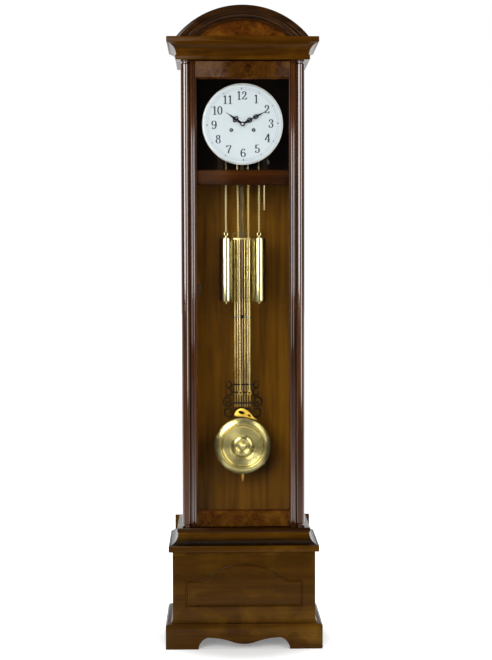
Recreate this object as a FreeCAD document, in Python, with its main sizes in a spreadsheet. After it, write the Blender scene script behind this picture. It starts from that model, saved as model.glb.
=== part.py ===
import FreeCAD, Part
import Sketcher
import math
import os
from types import SimpleNamespace

# A floor-standing longcase clock with a glazed door, two chain-driven weights and a lyre pendulum.
# The case stands on the plane z = 0, its back is against +Y and its door faces -Y.
# Every length is in millimetres and every angle in degrees.

SIZES = {
    # the case, stacked from the floor up
    "plinth_rise": 74.0,
    "plinth_moulding_rise": 14.5,
    "base_rise": 214.5,
    "base_slab_thickness": 20.0,
    "waist_cove_rise": 37.5,
    "waist_slab_thickness": 13.5,
    "trunk_rise": 1458.0,
    "cornice_slab_thickness": 14.5,
    "cornice_cove_rise": 35.5,
    "top_slab_thickness": 17.5,
    "arch_rise": 100.5,
    # the case, from side to side and from front to back
    "plinth_width": 490.0,
    "base_setback": 22.0,
    "wide_slab_setback": 10.0,
    "narrow_slab_setback": 36.5,
    "trunk_setback": 52.5,
    "case_depth": 290.0,
    "board_thickness": 18.0,
    "back_thickness": 6.0,
    "back_inset": 2.0,
    "floor_gap": 5.0,
    # the bracket feet and the cut-out between them
    "foot_width": 102.0,
    "cusp_inset": 28.0,
    "cusp_height": 36.5,
    "drop_height": 16.5,
    "scallop_curve": 42.0,
    # the arched panel on the base
    "panel_side_margin": 38.5,
    "panel_bottom_margin": 54.0,
    "panel_shoulder_rise": 85.5,
    "panel_shoulder_length": 40.5,
    "panel_arch_rise": 52.5,
    "panel_groove_width": 7.5,
    "panel_groove_depth": 3.0,
    # the mouldings
    "moulding_lip": 3.0,
    "cove_backing": 16.0,
    "cove_curve": 36.0,
    "ogee_land": 2.0,
    # the trunk
    "column_radius": 14.0,
    "column_collar_rise": 5.0,
    "column_collar_recess": 1.6,
    "column_neck_rise": 9.0,
    "side_thickness": 16.0,
    "side_inset": 4.0,
    "post_width": 42.5,
    "post_thickness": 20.0,
    # the door
    "door_gap": 0.5,
    "door_side_gap": 0.5,
    "door_end_gap": 2.0,
    "door_setback": 2.5,
    "door_thickness": 25.0,
    "stile_width": 16.5,
    "reed_radius": 3.5,
    "reed_half_width": 3.3,
    "reed_rise": 2.4,
    "reed_land": 1.2,
    "top_rail_width": 51.0,
    "bottom_rail_width": 48.5,
    "bead_width": 4.0,
    "bead_depth": 5.0,
    "glass_thickness": 4.0,
    "glass_setback": 10.0,
    "glass_clearance": 0.5,
    "pivot_radius": 1.5,
    "pivot_rise": 9.0,
    "pivot_clearance": 0.06,
    "pivot_edge_distance": 4.0,
    "pivot_face_distance": 3.2,
    "pivot_plate_length": 14.0,
    "pivot_plate_width": 10.0,
    "pivot_plate_thickness": 1.5,
    "catch_length": 36.0,
    "catch_width": 12.0,
    "catch_thickness": 14.0,
    # the arched hood
    "arch_moulding_width": 46.0,
    "arch_moulding_thickness": 20.0,
    "arch_band_width": 18.0,
    "arch_band_round": 2.4,
    "arch_step": 2.0,
    "arch_cove_width": 15.0,
    "arch_cove_depth": 6.5,
    "arch_bead_width": 4.0,
    "arch_fillet_depth": 10.0,
    "tympanum_thickness": 6.0,
    "tympanum_lap": 4.0,
    "roof_thickness": 6.0,
    "roof_inset": 1.0,
    # the seat board and what carries it
    "dial_drop": 194.0,
    "dial_seat_gap": 18.0,
    "seat_thickness": 18.0,
    "seat_depth": 76.5,
    "seat_rail_rise": 47.0,
    "seat_rail_thickness": 16.0,
    "bearer_width": 20.0,
    "bearer_rise": 25.0,
    "bearer_length": 134.5,
    "cheek_thickness": 16.0,
    "cheek_inner_span": 62.0,
    "chain_slot_width": 12.0,
    "chain_slot_end_gap": 6.0,
    # the dial
    "dial_gap": 9.0,
    "dial_thickness": 1.5,
    "dial_margin": 22.5,
    "rim_overhang": 2.0,
    "rim_width": 7.0,
    "rim_rise": 3.5,
    "rim_step": 1.5,
    "dial_centre_hole": 6.5,
    "keyhole_radius": 5.2,
    "ferrule_wall": 1.2,
    "ferrule_gap": 0.2,
    "ferrule_lip": 0.8,
    "dial_foot_radius": 3.0,
    "dial_foot_length": 14.5,
    "dial_foot_span": 50.0,
    # the movement
    "plate_width": 152.0,
    "plate_top": 97.0,
    "plate_bottom": 83.0,
    "plate_thickness": 2.5,
    "plate_spacing": 52.5,
    "pillar_radius": 4.5,
    "pillar_inset": 9.0,
    "arbor_radius": 2.0,
    "fine_arbor_radius": 1.1,
    "running_clearance": 0.05,
    "winding_offset": 35.0,
    "winding_drop": 18.3,
    "great_module": 1.125,
    "centre_module": 1.5,
    "third_module": 0.8,
    "escape_module": 0.7,
    "motion_module": 1.2,
    "wheel_thickness": 1.8,
    "pinion_length": 5.0,
    "escape_centre_rise": 30.0,
    "escape_radius": 15.0,
    "escape_tooth_depth": 4.0,
    "pallet_clearance": 1.5,
    "anchor_thickness": 3.0,
    "anchor_strap": 5.5,
    "pendulum_pivot_rise": 51.2,
    "great_wheel_place": 16.0,
    "sprocket_place": 32.0,
    "intermediate_place": 42.0,
    "centre_wheel_place": 48.5,
    "third_wheel_place": 35.0,
    "escape_wheel_place": 20.0,
    "pin_wheel_place": 48.0,
    "pin_wheel_radius": 14.4,
    "pin_radius": 1.0,
    "pin_length": 3.0,
    "pin_circle_radius": 11.0,
    # the chains and the weights
    "chain_radius": 17.5,
    "chain_width": 5.5,
    "chain_wire": 1.5,
    "sprocket_flange_radius": 20.2,
    "sprocket_flange_thickness": 1.6,
    "sprocket_gap": 6.6,
    "sprocket_root_radius": 12.3,
    "spike_rise": 2.1,
    "spike_width": 1.8,
    "weight_radius": 22.0,
    "weight_length": 203.0,
    "weight_cap_rise": 4.0,
    "weight_cap_radius": 20.0,
    "weight_neck_radius": 3.0,
    "weight_neck_rise": 5.0,
    "weight_ball_radius": 4.0,
    "hook_radius": 5.2,
    "hook_wire_radius": 1.2,
    "weight_chain_length": 317.7,
    "free_chain_length": 823.7,
    "chain_end_ring_radius": 5.5,
    "chain_end_ring_wire": 1.1,
    "time_chain_lean": 3.5,
    "strike_chain_lean": 10.0,
    # the suspension and the pendulum
    "pendulum_reach": 90.0,
    "cock_width": 26.0,
    "cock_rise": 14.0,
    "cock_lift": 7.0,
    "spring_width": 8.0,
    "spring_thickness": 0.5,
    "spring_gap": 0.3,
    "crutch_length": 58.0,
    "crutch_gap": 8.5,
    "crutch_width": 5.0,
    "crutch_thickness": 2.0,
    "fork_clearance": 0.4,
    "fork_prong": 2.0,
    "leader_width": 10.0,
    "leader_thickness": 2.0,
    "leader_flare_width": 15.0,
    "leader_flare_rise": 33.0,
    "lyre_top_drop": 405.0,
    "lyre_bottom_drop": 949.0,
    "lyre_bar_rise": 5.0,
    "lyre_half_width": 29.0,
    "cross_bar_half_width": 35.5,
    "low_bar_half_width": 41.0,
    "scroll_reach": 60.0,
    "rod_tail": 9.8,
    "lyre_rod_radius": 2.1,
    "lyre_rod_pitch": 8.0,
    "cross_bar_drop": 879.2,
    "cross_bar_gap": 25.5,
    "clamp_bar_drop": 660.7,
    "clamp_bar_half_width": 32.0,
    "scroll_band": 3.6,
    "scroll_thickness": 2.0,
    "bob_radius": 91.0,
    "bob_drop": 1076.6,
    "bob_thickness": 8.0,
    "bob_dish_width": 24.0,
    "bob_dish_depth": 2.5,
    "bob_bead_width": 5.0,
    "bob_flat_width": 24.0,
    "bob_boss_radius": 33.0,
    "bob_boss_rise": 2.5,
    "bob_dome_radius": 16.0,
    "bob_dome_rise": 4.0,
    "bob_back_gap": 1.5,
    "guide_wall": 3.0,
    "guide_rise": 30.0,
    "guide_clearance": 0.4,
    "stem_width": 8.0,
    "stem_thickness": 3.6,
    "stem_gap": 0.5,
    "screw_radius": 1.5,
    "screw_length": 32.0,
    "screw_hidden_length": 8.0,
    "nut_radius": 4.2,
    "nut_rise": 14.0,
    "nut_gap": 0.3,
    # the gong and its hammer
    "gong_offset": 71.0,
    "gong_gap": 26.0,
    "gong_rod_radius": 2.5,
    "gong_rod_length": 172.0,
    "gong_rod_drop": 265.0,
    "gong_block_width": 30.0,
    "gong_block_depth": 22.0,
    "gong_block_rise": 26.0,
    "gong_mount_width": 44.0,
    "hammer_offset": 66.0,
    "hammer_drop": 32.0,
    "hammer_arm": 80.0,
    "hammer_arm_width": 4.0,
    "hammer_arm_thickness": 2.5,
    "hammer_arm_gap": 10.0,
    "hammer_head_radius": 6.0,
    "hammer_head_length": 13.0,
    "hammer_gap": 1.0,
    "hammer_tail_place": 51.0,
    "hammer_tail_gap": 0.5,
    # the hands
    "hour_hand_gap": 5.0,
    "minute_hand_gap": 9.0,
    "hand_thickness": 1.2,
    "hour_hand_length": 63.0,
    "minute_hand_length": 86.0,
    "hand_boss_radius": 7.5,
    "hand_stem_width": 4.4,
    "hand_tip_width": 1.6,
    "hand_lobe_radius": 5.6,
    "hand_eye_radius": 2.9,
    "hour_lobe_reach": 27.0,
    "inner_leaf_reach": 27.0,
    "outer_leaf_reach": 48.0,
    "sleeve_radius": 4.6,
    "sleeve_bore": 3.4,
    "cannon_radius": 3.3,
    "hand_nut_radius": 6.0,
    "hand_nut_rise": 3.0,
    "cutter_overrun": 5.0,
}

TOOTH_COUNTS = {
    "great_wheel_teeth": 48,
    "great_pinion_teeth": 8,
    "intermediate_wheel_teeth": 24,
    "centre_pinion_teeth": 8,
    "centre_wheel_teeth": 48,
    "third_pinion_teeth": 6,
    "third_wheel_teeth": 45,
    "escape_pinion_teeth": 6,
    "escape_wheel_teeth": 30,
    "cannon_pinion_teeth": 8,
    "minute_wheel_teeth": 24,
    "minute_pinion_teeth": 8,
    "hour_wheel_teeth": 32,
}
SPIKE_COUNT = 10
PIN_COUNT = 8
LYRE_ROD_COUNT = 7
WHEEL_ARM_COUNT = 4
SMALL_FACET_COUNT = 12
SPROCKET_FACET_COUNT = 20
ROD_FACET_COUNT = 8
ARC_FACET_COUNT = 7

# The hands show about ten past ten, in degrees clockwise from twelve.
HOUR_HAND_ANGLE = 305.0
MINUTE_HAND_ANGLE = 62.0
ARCH_SWEEP_ANGLE = 130.0
ANCHOR_SPAN_ANGLE = 45.0
ANCHOR_SHOULDER_SHARE = 0.7
MOTION_WORK_ANGLE = 45.0
PIN_WHEEL_ANGLE = -42.0

# Shares that shape the teeth, each of the tooth pitch or of the module.
TOOTH_PITCH_SHARE = 0.42
TOOTH_TIP_SHARE = 0.16
TOOTH_ROOT_SHARE = 0.46
ADDENDUM_SHARE = 0.9
DEDENDUM_SHARE = 1.2
LEAF_TIP_SHARE = 0.16
LEAF_ROOT_SHARE = 0.30
LEAF_ADDENDUM_SHARE = 0.6
LEAF_DEDENDUM_SHARE = 1.35
ESCAPE_LEAN_SHARE = 0.30
OGEE_SHARE = 0.33
HEAD_POINT = FreeCAD.Vector(0, 0, 0)
X_AXIS = FreeCAD.Vector(1, 0, 0)
Y_AXIS = FreeCAD.Vector(0, 1, 0)
Z_AXIS = FreeCAD.Vector(0, 0, 1)

doc = FreeCAD.newDocument("longcase_clock")
sheet = doc.addObject("Spreadsheet::Sheet", "Sizes")
pieces = {}


class Size:
    """A length that carries both its sheet expression and its value."""

    def __init__(self, text, value):
        self.text = text
        self.value = value

    def joined(self, sign, other, value):
        other_text = other.text if isinstance(other, Size) else repr(other)
        return Size("(%s %s %s)" % (self.text, sign, other_text), value)

    def __add__(self, other):
        return self.joined("+", other, self.value + number(other))

    def __radd__(self, other):
        return self + other

    def __sub__(self, other):
        return self.joined("-", other, self.value - number(other))

    def __rsub__(self, other):
        return -self + other

    def __mul__(self, other):
        return self.joined("*", other, self.value * number(other))

    def __rmul__(self, other):
        return self * other

    def __truediv__(self, other):
        return self.joined("/", other, self.value / number(other))

    def __neg__(self):
        return Size("(-1 * %s)" % self.text, -self.value)


def number(size):
    return size.value if isinstance(size, Size) else size


def root(size):
    return Size("sqrt(%s)" % size.text, math.sqrt(size.value))


def fill_sheet():
    for row, (name, value) in enumerate(SIZES.items(), start=1):
        sheet.set("A%d" % row, name)
        sheet.set("B%d" % row, str(value))
        sheet.setAlias("B%d" % row, name)
    doc.recompute()
    return SimpleNamespace(**{name: Size("Sizes." + name, value) for name, value in SIZES.items()})


size = fill_sheet()


# Helpers that make one bound object each

def bind(thing, prop, value):
    if isinstance(value, Size):
        thing.setExpression(prop, value.text)


def place(thing, x=0, y=0, z=0, turn=None):
    rotation = turn if turn else FreeCAD.Rotation()
    thing.Placement = FreeCAD.Placement(FreeCAD.Vector(number(x), number(y), number(z)), rotation)
    for axis, value in (("x", x), ("y", y), ("z", z)):
        bind(thing, "Placement.Base." + axis, value)
    return thing


def keep(label, thing):
    thing.Label = label
    pieces[label] = thing
    return thing


def box(label, lengths, corner):
    block = doc.addObject("Part::Box", label)
    for prop, value in zip(("Length", "Width", "Height"), lengths):
        setattr(block, prop, number(value))
        bind(block, prop, value)
    return place(block, *corner)


def pin(label, radius, length, foot, axis=Z_AXIS):
    """A round bar whose foot is at a point and which runs along an axis."""
    bar = doc.addObject("Part::Cylinder", label)
    bar.Radius = number(radius)
    bar.Height = number(length)
    bind(bar, "Radius", radius)
    bind(bar, "Height", length)
    return place(bar, *foot, turn=FreeCAD.Rotation(Z_AXIS, axis))


def cut(label, base, tool):
    result = doc.addObject("Part::Cut", label)
    result.Base = base
    result.Tool = tool
    return result


def fuse(label, shapes):
    result = doc.addObject("Part::MultiFuse", label)
    result.Shapes = shapes
    return result


def group(label, shapes):
    result = doc.addObject("Part::Compound", label)
    result.Links = shapes
    return result


def corner(across, up, radius=None, side=1):
    """A corner of an outline. A radius makes the edge that arrives here an arc bulging to one side."""
    return SimpleNamespace(across=across, up=up, radius=radius, side=side)


def hole(across, up, radius):
    return SimpleNamespace(across=across, up=up, radius=radius, whole=True)


def arc_middle(start, end, radius, side):
    """The middle point of the short arc from start to end, bulging right (side 1) or left (side -1)."""
    chord = end - start
    half = chord.Length / 2
    sagitta = radius - math.sqrt(max(radius * radius - half * half, 0))
    right = FreeCAD.Vector(chord.y, -chord.x, 0).normalize()
    return (start + end) * 0.5 + right * (sagitta * side)


def pin_to_origin(sketch, geometry, position, spot):
    for kind, value in (("DistanceX", spot.across), ("DistanceY", spot.up)):
        rule = Sketcher.Constraint(kind, -1, 1, geometry, position, float(number(value)))
        index = sketch.addConstraint(rule)
        bind(sketch, "Constraints[%d]" % index, value)


def bind_radius(sketch, geometry, radius):
    index = sketch.addConstraint(Sketcher.Constraint("Radius", geometry, float(number(radius))))
    bind(sketch, "Constraints[%d]" % index, radius)


def point(spot):
    return FreeCAD.Vector(number(spot.across), number(spot.up), 0)


def add_hole(sketch, spot):
    circle = Part.Circle(point(spot), Z_AXIS, number(spot.radius))
    geometry = sketch.addGeometry(circle, False)
    pin_to_origin(sketch, geometry, 3, spot)
    bind_radius(sketch, geometry, spot.radius)


def end_at(sketch, geometry, spot):
    """Which end of an edge lies at a corner: an arc may be stored turned round."""
    gaps = [(sketch.getPoint(geometry, position) - point(spot)).Length for position in (1, 2)]
    return 1 if gaps[0] < gaps[1] else 2


def add_loop(sketch, corners, closed=True):
    edges = []
    first = 0 if closed else 1
    for index in range(first, len(corners)):
        start, end = corners[index - 1], corners[index]
        if end.radius is None:
            edge = Part.LineSegment(point(start), point(end))
        else:
            middle = arc_middle(point(start), point(end), number(end.radius), end.side)
            edge = Part.Arc(point(start), middle, point(end))
        edges.append((sketch.addGeometry(edge, False), start, end))
    for index, (geometry, start, end) in enumerate(edges):
        pin_to_origin(sketch, geometry, end_at(sketch, geometry, end), end)
        if closed or index:
            before = edges[index - 1][0]
            rule = Sketcher.Constraint("Coincident", before, end_at(sketch, before, start),
                                       geometry, end_at(sketch, geometry, start))
            sketch.addConstraint(rule)
        else:
            pin_to_origin(sketch, geometry, end_at(sketch, geometry, start), start)
        if end.radius is not None:
            bind_radius(sketch, geometry, end.radius)


def sketch_on(body, plane, loops, lift=0, closed=True):
    sketch = body.newObject("Sketcher::SketchObject", body.Name + "_outline")
    origin_plane = next(part for part in body.Origin.OriginFeatures if part.Role == plane)
    sketch.AttachmentSupport = [(origin_plane, "")]
    sketch.MapMode = "FlatFace"
    if isinstance(lift, Size):
        sketch.AttachmentOffset = FreeCAD.Placement(Z_AXIS * lift.value, FreeCAD.Rotation())
        bind(sketch, "AttachmentOffset.Base.z", lift)
    for loop in loops:
        if isinstance(loop, list):
            add_loop(sketch, loop, closed)
        else:
            add_hole(sketch, loop)
    return sketch


def pad(label, plane, loops, thickness, middle=False):
    """A body padded from an outline: XZ_Plane pads towards the viewer, XY_Plane upwards."""
    body = doc.addObject("PartDesign::Body", label)
    feature = body.newObject("PartDesign::Pad", label + "_pad")
    feature.Profile = sketch_on(body, plane, loops)
    feature.Length = number(thickness)
    bind(feature, "Length", thickness)
    feature.Midplane = middle
    body.Tip = feature
    return body


def pocket(body, plane, loops, depth, lift=0, reverse=False):
    feature = body.newObject("PartDesign::Pocket", body.Name + "_pocket")
    feature.Profile = sketch_on(body, plane, loops, lift)
    feature.Length = number(depth)
    bind(feature, "Length", depth)
    feature.Reversed = reverse
    body.Tip = feature
    return feature


def turned(label, profile, angle=360.0):
    """A body turned about its own Z axis from a half profile of (radius, height) corners."""
    body = doc.addObject("PartDesign::Body", label)
    feature = body.newObject("PartDesign::Revolution", label + "_turning")
    sketch = sketch_on(body, "XZ_Plane", [profile])
    feature.Profile = sketch
    feature.ReferenceAxis = (sketch, ["V_Axis"])
    feature.Angle = angle
    body.Tip = feature
    return body


FACE_FORWARD = FreeCAD.Rotation(X_AXIS, 90)


def shape_piece(label, shape, x=0, y=0, z=0, turn=None):
    """A solid worked out in code, from the same sheet values, and then placed."""
    feature = doc.addObject("Part::Feature", label)
    feature.Shape = shape
    return place(feature, x, y, z, turn)


def sheet_value(name):
    return float(sheet.get(name))


# Heights and fronts that several boards share

half_plinth = size.plinth_width / 2
half_base = half_plinth - size.base_setback
half_wide = half_plinth - size.wide_slab_setback
half_narrow = half_plinth - size.narrow_slab_setback
half_trunk = half_plinth - size.trunk_setback
case_front = -size.case_depth / 2
case_back = size.case_depth / 2 - size.back_thickness
base_front = case_front + size.base_setback
wide_front = case_front + size.wide_slab_setback
narrow_front = case_front + size.narrow_slab_setback
trunk_front = case_front + size.trunk_setback
base_bottom = size.plinth_rise
base_face_bottom = base_bottom + size.plinth_moulding_rise
base_top = base_face_bottom + size.base_rise
waist_cove_bottom = base_top + size.base_slab_thickness
waist_slab_bottom = waist_cove_bottom + size.waist_cove_rise
trunk_bottom = waist_slab_bottom + size.waist_slab_thickness
trunk_top = trunk_bottom + size.trunk_rise
cornice_cove_bottom = trunk_top + size.cornice_slab_thickness
top_slab_bottom = cornice_cove_bottom + size.cornice_cove_rise
arch_bottom = top_slab_bottom + size.top_slab_thickness
case_top = arch_bottom + size.arch_rise
arch_radius = (half_narrow * half_narrow + size.arch_rise * size.arch_rise) / (2 * size.arch_rise)
arch_centre = case_top - arch_radius
post_front = trunk_front + 2 * size.column_radius
post_back = post_front + size.post_thickness
side_outer = half_trunk - size.side_inset
side_inner = side_outer - size.side_thickness
axis_z = trunk_top - size.dial_drop
winding_z = axis_z - size.winding_drop
door_front = trunk_front + size.door_setback
door_back = door_front + size.door_thickness
dial_front = door_back + size.dial_gap
dial_back = dial_front + size.dial_thickness
plate_front = dial_back + size.dial_foot_length
plate_back = plate_front + size.plate_spacing + 2 * size.plate_thickness
chain_y = plate_front + size.sprocket_place
pendulum_y = plate_front + size.pendulum_reach
gong_y = plate_back + size.gong_gap


def scallop_outline():
    """The front plinth board: two bracket feet and a double-curved cut-out between them."""
    foot = half_plinth - size.foot_width
    cusp = foot - size.cusp_inset
    rise = size.cusp_height
    drop = size.drop_height
    bend = (cusp * cusp + (rise - drop) * (rise - drop)) / (2 * (rise - drop))
    turn_across = cusp * OGEE_SHARE
    turn_up = drop + (rise - drop) * OGEE_SHARE
    return [
        corner(-half_plinth, 0),
        corner(-foot, 0),
        corner(-cusp, rise, size.scallop_curve, -1),
        corner(-turn_across, turn_up, bend * (1 - OGEE_SHARE), -1),
        corner(0, drop, bend * OGEE_SHARE, 1),
        corner(turn_across, turn_up, bend * OGEE_SHARE, 1),
        corner(cusp, rise, bend * (1 - OGEE_SHARE), -1),
        corner(foot, 0, size.scallop_curve, -1),
        corner(half_plinth, 0),
        corner(half_plinth, size.plinth_rise),
        corner(-half_plinth, size.plinth_rise),
    ]


def plinth():
    front = pad("plinth_front", "XZ_Plane", [scallop_outline()], size.board_thickness)
    place(front, 0, case_front + size.board_thickness, 0)
    side_lengths = (size.board_thickness, size.case_depth - size.board_thickness - size.back_thickness,
                    size.plinth_rise)
    side_y = case_front + size.board_thickness
    left = box("plinth_left", side_lengths, (-half_plinth, side_y, 0))
    right = box("plinth_right", side_lengths, (half_plinth - size.board_thickness, side_y, 0))
    keep("plinth_boards", group("plinth_boards_group", [front, left, right]))


def wrapped_moulding(label, profile, back):
    """A moulding that runs along the left side, the front and the right side, mitred at the corners.
    Its profile is given outwards from the front of the path and upwards."""
    outer, front, corners = profile
    body = doc.addObject("PartDesign::Body", label)
    path = [corner(-outer, back), corner(-outer, front), corner(outer, front), corner(outer, back)]
    spine = sketch_on(body, "XY_Plane", [path], closed=False)
    section = [corner(-outer - spot.across, spot.up, spot.radius, spot.side) for spot in corners]
    profile_sketch = sketch_on(body, "XZ_Plane", [section], lift=-back)
    pipe = body.newObject("PartDesign::AdditivePipe", label + "_sweep")
    pipe.Profile = profile_sketch
    pipe.Spine = (spine, ["Edge1", "Edge2", "Edge3"])
    pipe.Transition = "Right corner"
    body.Tip = pipe
    return body


def plinth_moulding():
    """An ogee between the plinth and the face of the base."""
    run = size.base_setback - size.ogee_land
    rise = size.plinth_moulding_rise
    curve = (run * run + rise * rise) / (2 * rise)
    profile = (half_base, base_front, [
        corner(0, 0),
        corner(run, 0),
        corner(run * (1 - OGEE_SHARE), rise * OGEE_SHARE, curve * OGEE_SHARE, 1),
        corner(0, rise, curve * (1 - OGEE_SHARE), -1),
    ])
    body = wrapped_moulding("plinth_moulding", profile, case_back)
    place(body, 0, 0, size.plinth_rise)
    keep("plinth_moulding", body)


def cove(label, bottom, rise, low_run, high_run):
    """A hollow moulding between two slabs, set in from both edges by a small lip."""
    profile = (half_narrow, narrow_front, [
        corner(-size.cove_backing, 0),
        corner(low_run, 0),
        corner(high_run, rise, size.cove_curve, -1),
        corner(-size.cove_backing, rise),
    ])
    body = wrapped_moulding(label, profile, case_back)
    place(body, 0, 0, bottom)
    keep(label, body)


def slab(label, half_width, front, bottom, thickness):
    lengths = (2 * half_width, case_back - front, thickness)
    keep(label, box(label, lengths, (-half_width, front, bottom)))


def panel_outline(inset):
    """A flat-bottomed panel whose top rises in an ogee to a low arch."""
    half = half_base - size.panel_side_margin - inset
    low = size.panel_bottom_margin + inset
    shoulder = size.panel_bottom_margin + size.panel_shoulder_rise - inset
    top = shoulder + size.panel_arch_rise
    reach = half_base - size.panel_side_margin - size.panel_shoulder_length
    curve = (reach * reach + size.panel_arch_rise * size.panel_arch_rise) / (2 * size.panel_arch_rise)
    turn_across = reach * (1 - OGEE_SHARE)
    turn_up = shoulder + size.panel_arch_rise * OGEE_SHARE
    return [
        corner(-half, low),
        corner(half, low),
        corner(half, shoulder),
        corner(reach, shoulder),
        corner(turn_across, turn_up, curve * OGEE_SHARE, -1),
        corner(0, top, curve * (1 - OGEE_SHARE), 1),
        corner(-turn_across, turn_up, curve * (1 - OGEE_SHARE), 1),
        corner(-reach, shoulder, curve * OGEE_SHARE, -1),
        corner(-half, shoulder),
    ]


def base_box():
    rise = base_top - base_bottom
    outline = [
        corner(-half_base, 0),
        corner(half_base, 0),
        corner(half_base, rise),
        corner(-half_base, rise),
    ]
    front = pad("base_front_board", "XZ_Plane", [outline], size.board_thickness)
    groove = [panel_outline(0), panel_outline(size.panel_groove_width)]
    pocket(front, "XZ_Plane", groove, size.panel_groove_depth, lift=size.board_thickness)
    place(front, 0, base_front + size.board_thickness, base_bottom)
    keep("base_front_board", front)
    side_y = base_front + size.board_thickness
    side_lengths = (size.board_thickness, case_back - side_y, rise)
    left = box("base_left", side_lengths, (-half_base, side_y, base_bottom))
    right = box("base_right", side_lengths, (half_base - size.board_thickness, side_y, base_bottom))
    keep("base_sides", group("base_sides_group", [left, right]))
    floor_half = half_plinth - size.board_thickness
    floor_front = case_front + size.board_thickness
    floor_lengths = (2 * floor_half, case_back - floor_front, size.board_thickness)
    keep("base_floor", box("base_floor", floor_lengths,
                           (-floor_half, floor_front, base_bottom - size.board_thickness)))


def column_profile():
    """A plain round column with a collar and a narrow neck at each end."""
    full = size.column_radius
    collar = full - size.column_collar_recess
    neck = collar - size.column_collar_recess
    length = size.trunk_rise
    first = size.column_collar_rise
    second = size.column_neck_rise
    return [
        corner(0, 0),
        corner(full, 0),
        corner(full, first),
        corner(neck, first),
        corner(neck, second),
        corner(full, second + size.column_collar_recess),
        corner(full, length - second - size.column_collar_recess),
        corner(neck, length - second),
        corner(neck, length - first),
        corner(full, length - first),
        corner(full, length),
        corner(0, length),
    ]


def trunk():
    side_lengths = (size.side_thickness, case_back - post_back, size.trunk_rise)
    left = box("trunk_left", side_lengths, (-side_outer, post_back, trunk_bottom))
    right = box("trunk_right", side_lengths, (side_inner, post_back, trunk_bottom))
    keep("trunk_sides", group("trunk_sides_group", [left, right]))
    post_lengths = (size.post_width, size.post_thickness, size.trunk_rise)
    left_post = box("left_post", post_lengths, (-side_outer, post_front, trunk_bottom))
    right_post = box("right_post", post_lengths, (side_outer - size.post_width, post_front, trunk_bottom))
    keep("corner_posts", group("corner_posts_group", [left_post, right_post]))
    offset = half_trunk - size.column_radius
    columns = []
    for side, across in (("left", -offset), ("right", offset)):
        column = turned(side + "_column", column_profile())
        columns.append(place(column, across, trunk_front + size.column_radius, trunk_bottom))
    keep("corner_columns", group("corner_columns_group", columns))
    wide = half_base - size.back_inset
    narrow = side_outer - size.back_inset
    top = top_slab_bottom - size.floor_gap
    step = trunk_bottom
    outline = [corner(-wide, size.floor_gap), corner(wide, size.floor_gap), corner(wide, step),
               corner(narrow, step), corner(narrow, top), corner(-narrow, top),
               corner(-narrow, step), corner(-wide, step)]
    back = pad("back_panel", "XZ_Plane", [outline], size.back_thickness)
    place(back, 0, size.case_depth / 2, 0)
    keep("back_panel", back)


def arch():
    """The curved pediment: a turned moulding, the panel behind it and the bent roof."""
    edge = arch_radius
    thick = size.arch_moulding_thickness
    band = edge - size.arch_band_width
    cove_end = band - size.arch_cove_width
    bead_end = cove_end - size.arch_bead_width
    inner = edge - size.arch_moulding_width
    cove_place = size.arch_cove_depth
    fillet_place = size.arch_fillet_depth
    # across is the depth behind the front, up is the distance from the centre of the arch
    profile = [
        corner(thick, inner),
        corner(thick, edge),
        corner(size.arch_band_round, edge),
        corner(0, edge - size.arch_band_round),
        corner(0, band + size.arch_band_round),
        corner(size.arch_band_round, band),
        corner(size.arch_step + size.arch_band_round, band),
        corner(cove_place, band - size.arch_cove_width / 2),
        corner(cove_place, cove_end + size.arch_bead_width / 2),
        corner(size.arch_step, cove_end),
        corner(size.arch_step, bead_end),
        corner(fillet_place, bead_end),
        corner(fillet_place, inner),
    ]
    moulding = doc.addObject("PartDesign::Body", "arch_moulding")
    sketch = sketch_on(moulding, "YZ_Plane", [profile])
    sweep = moulding.newObject("PartDesign::Revolution", "arch_moulding_turning")
    sweep.Profile = sketch
    sweep.ReferenceAxis = (sketch, ["H_Axis"])
    sweep.Angle = ARCH_SWEEP_ANGLE
    sweep.Midplane = True
    moulding.Tip = sweep
    spring = arch_bottom - arch_centre
    below = [corner(-edge, -edge), corner(edge, -edge), corner(edge, spring), corner(-edge, spring)]
    trim = pocket(moulding, "XZ_Plane", [below], 2 * (thick + size.cutter_overrun))
    trim.Midplane = True
    place(moulding, 0, narrow_front, arch_centre)
    keep("arch_moulding", moulding)

    tympanum_front = narrow_front + thick
    keep("tympanum", arched_board("tympanum", inner + size.tympanum_lap, size.tympanum_thickness,
                                  tympanum_front + size.tympanum_thickness))
    roof_outer = edge - size.roof_inset
    roof_inner = roof_outer - size.roof_thickness
    outer_half = root(roof_outer * roof_outer - spring * spring)
    inner_half = root(roof_inner * roof_inner - spring * spring)
    outline = [
        corner(-outer_half, spring, roof_outer, 1),
        corner(-inner_half, spring),
        corner(0, roof_inner, roof_inner, -1),
        corner(inner_half, spring, roof_inner, -1),
        corner(outer_half, spring),
        corner(0, roof_outer, roof_outer, 1),
    ]
    shell = pad("bent_roof", "XZ_Plane", [outline], case_back - tympanum_front)
    place(shell, 0, case_back, arch_centre)
    end = arched_board("roof_end", roof_inner, size.tympanum_thickness, case_back)
    keep("arch_roof", group("arch_roof_group", [shell, end]))


def arched_board(label, radius, thickness, back):
    """A segment of a disc that stands on the top slab."""
    spring = arch_bottom - arch_centre
    half = root(radius * radius - spring * spring)
    outline = [corner(-half, spring, radius, 1), corner(half, spring), corner(0, radius, radius, 1)]
    board = pad(label, "XZ_Plane", [outline], thickness)
    return place(board, 0, back, arch_centre)


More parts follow.
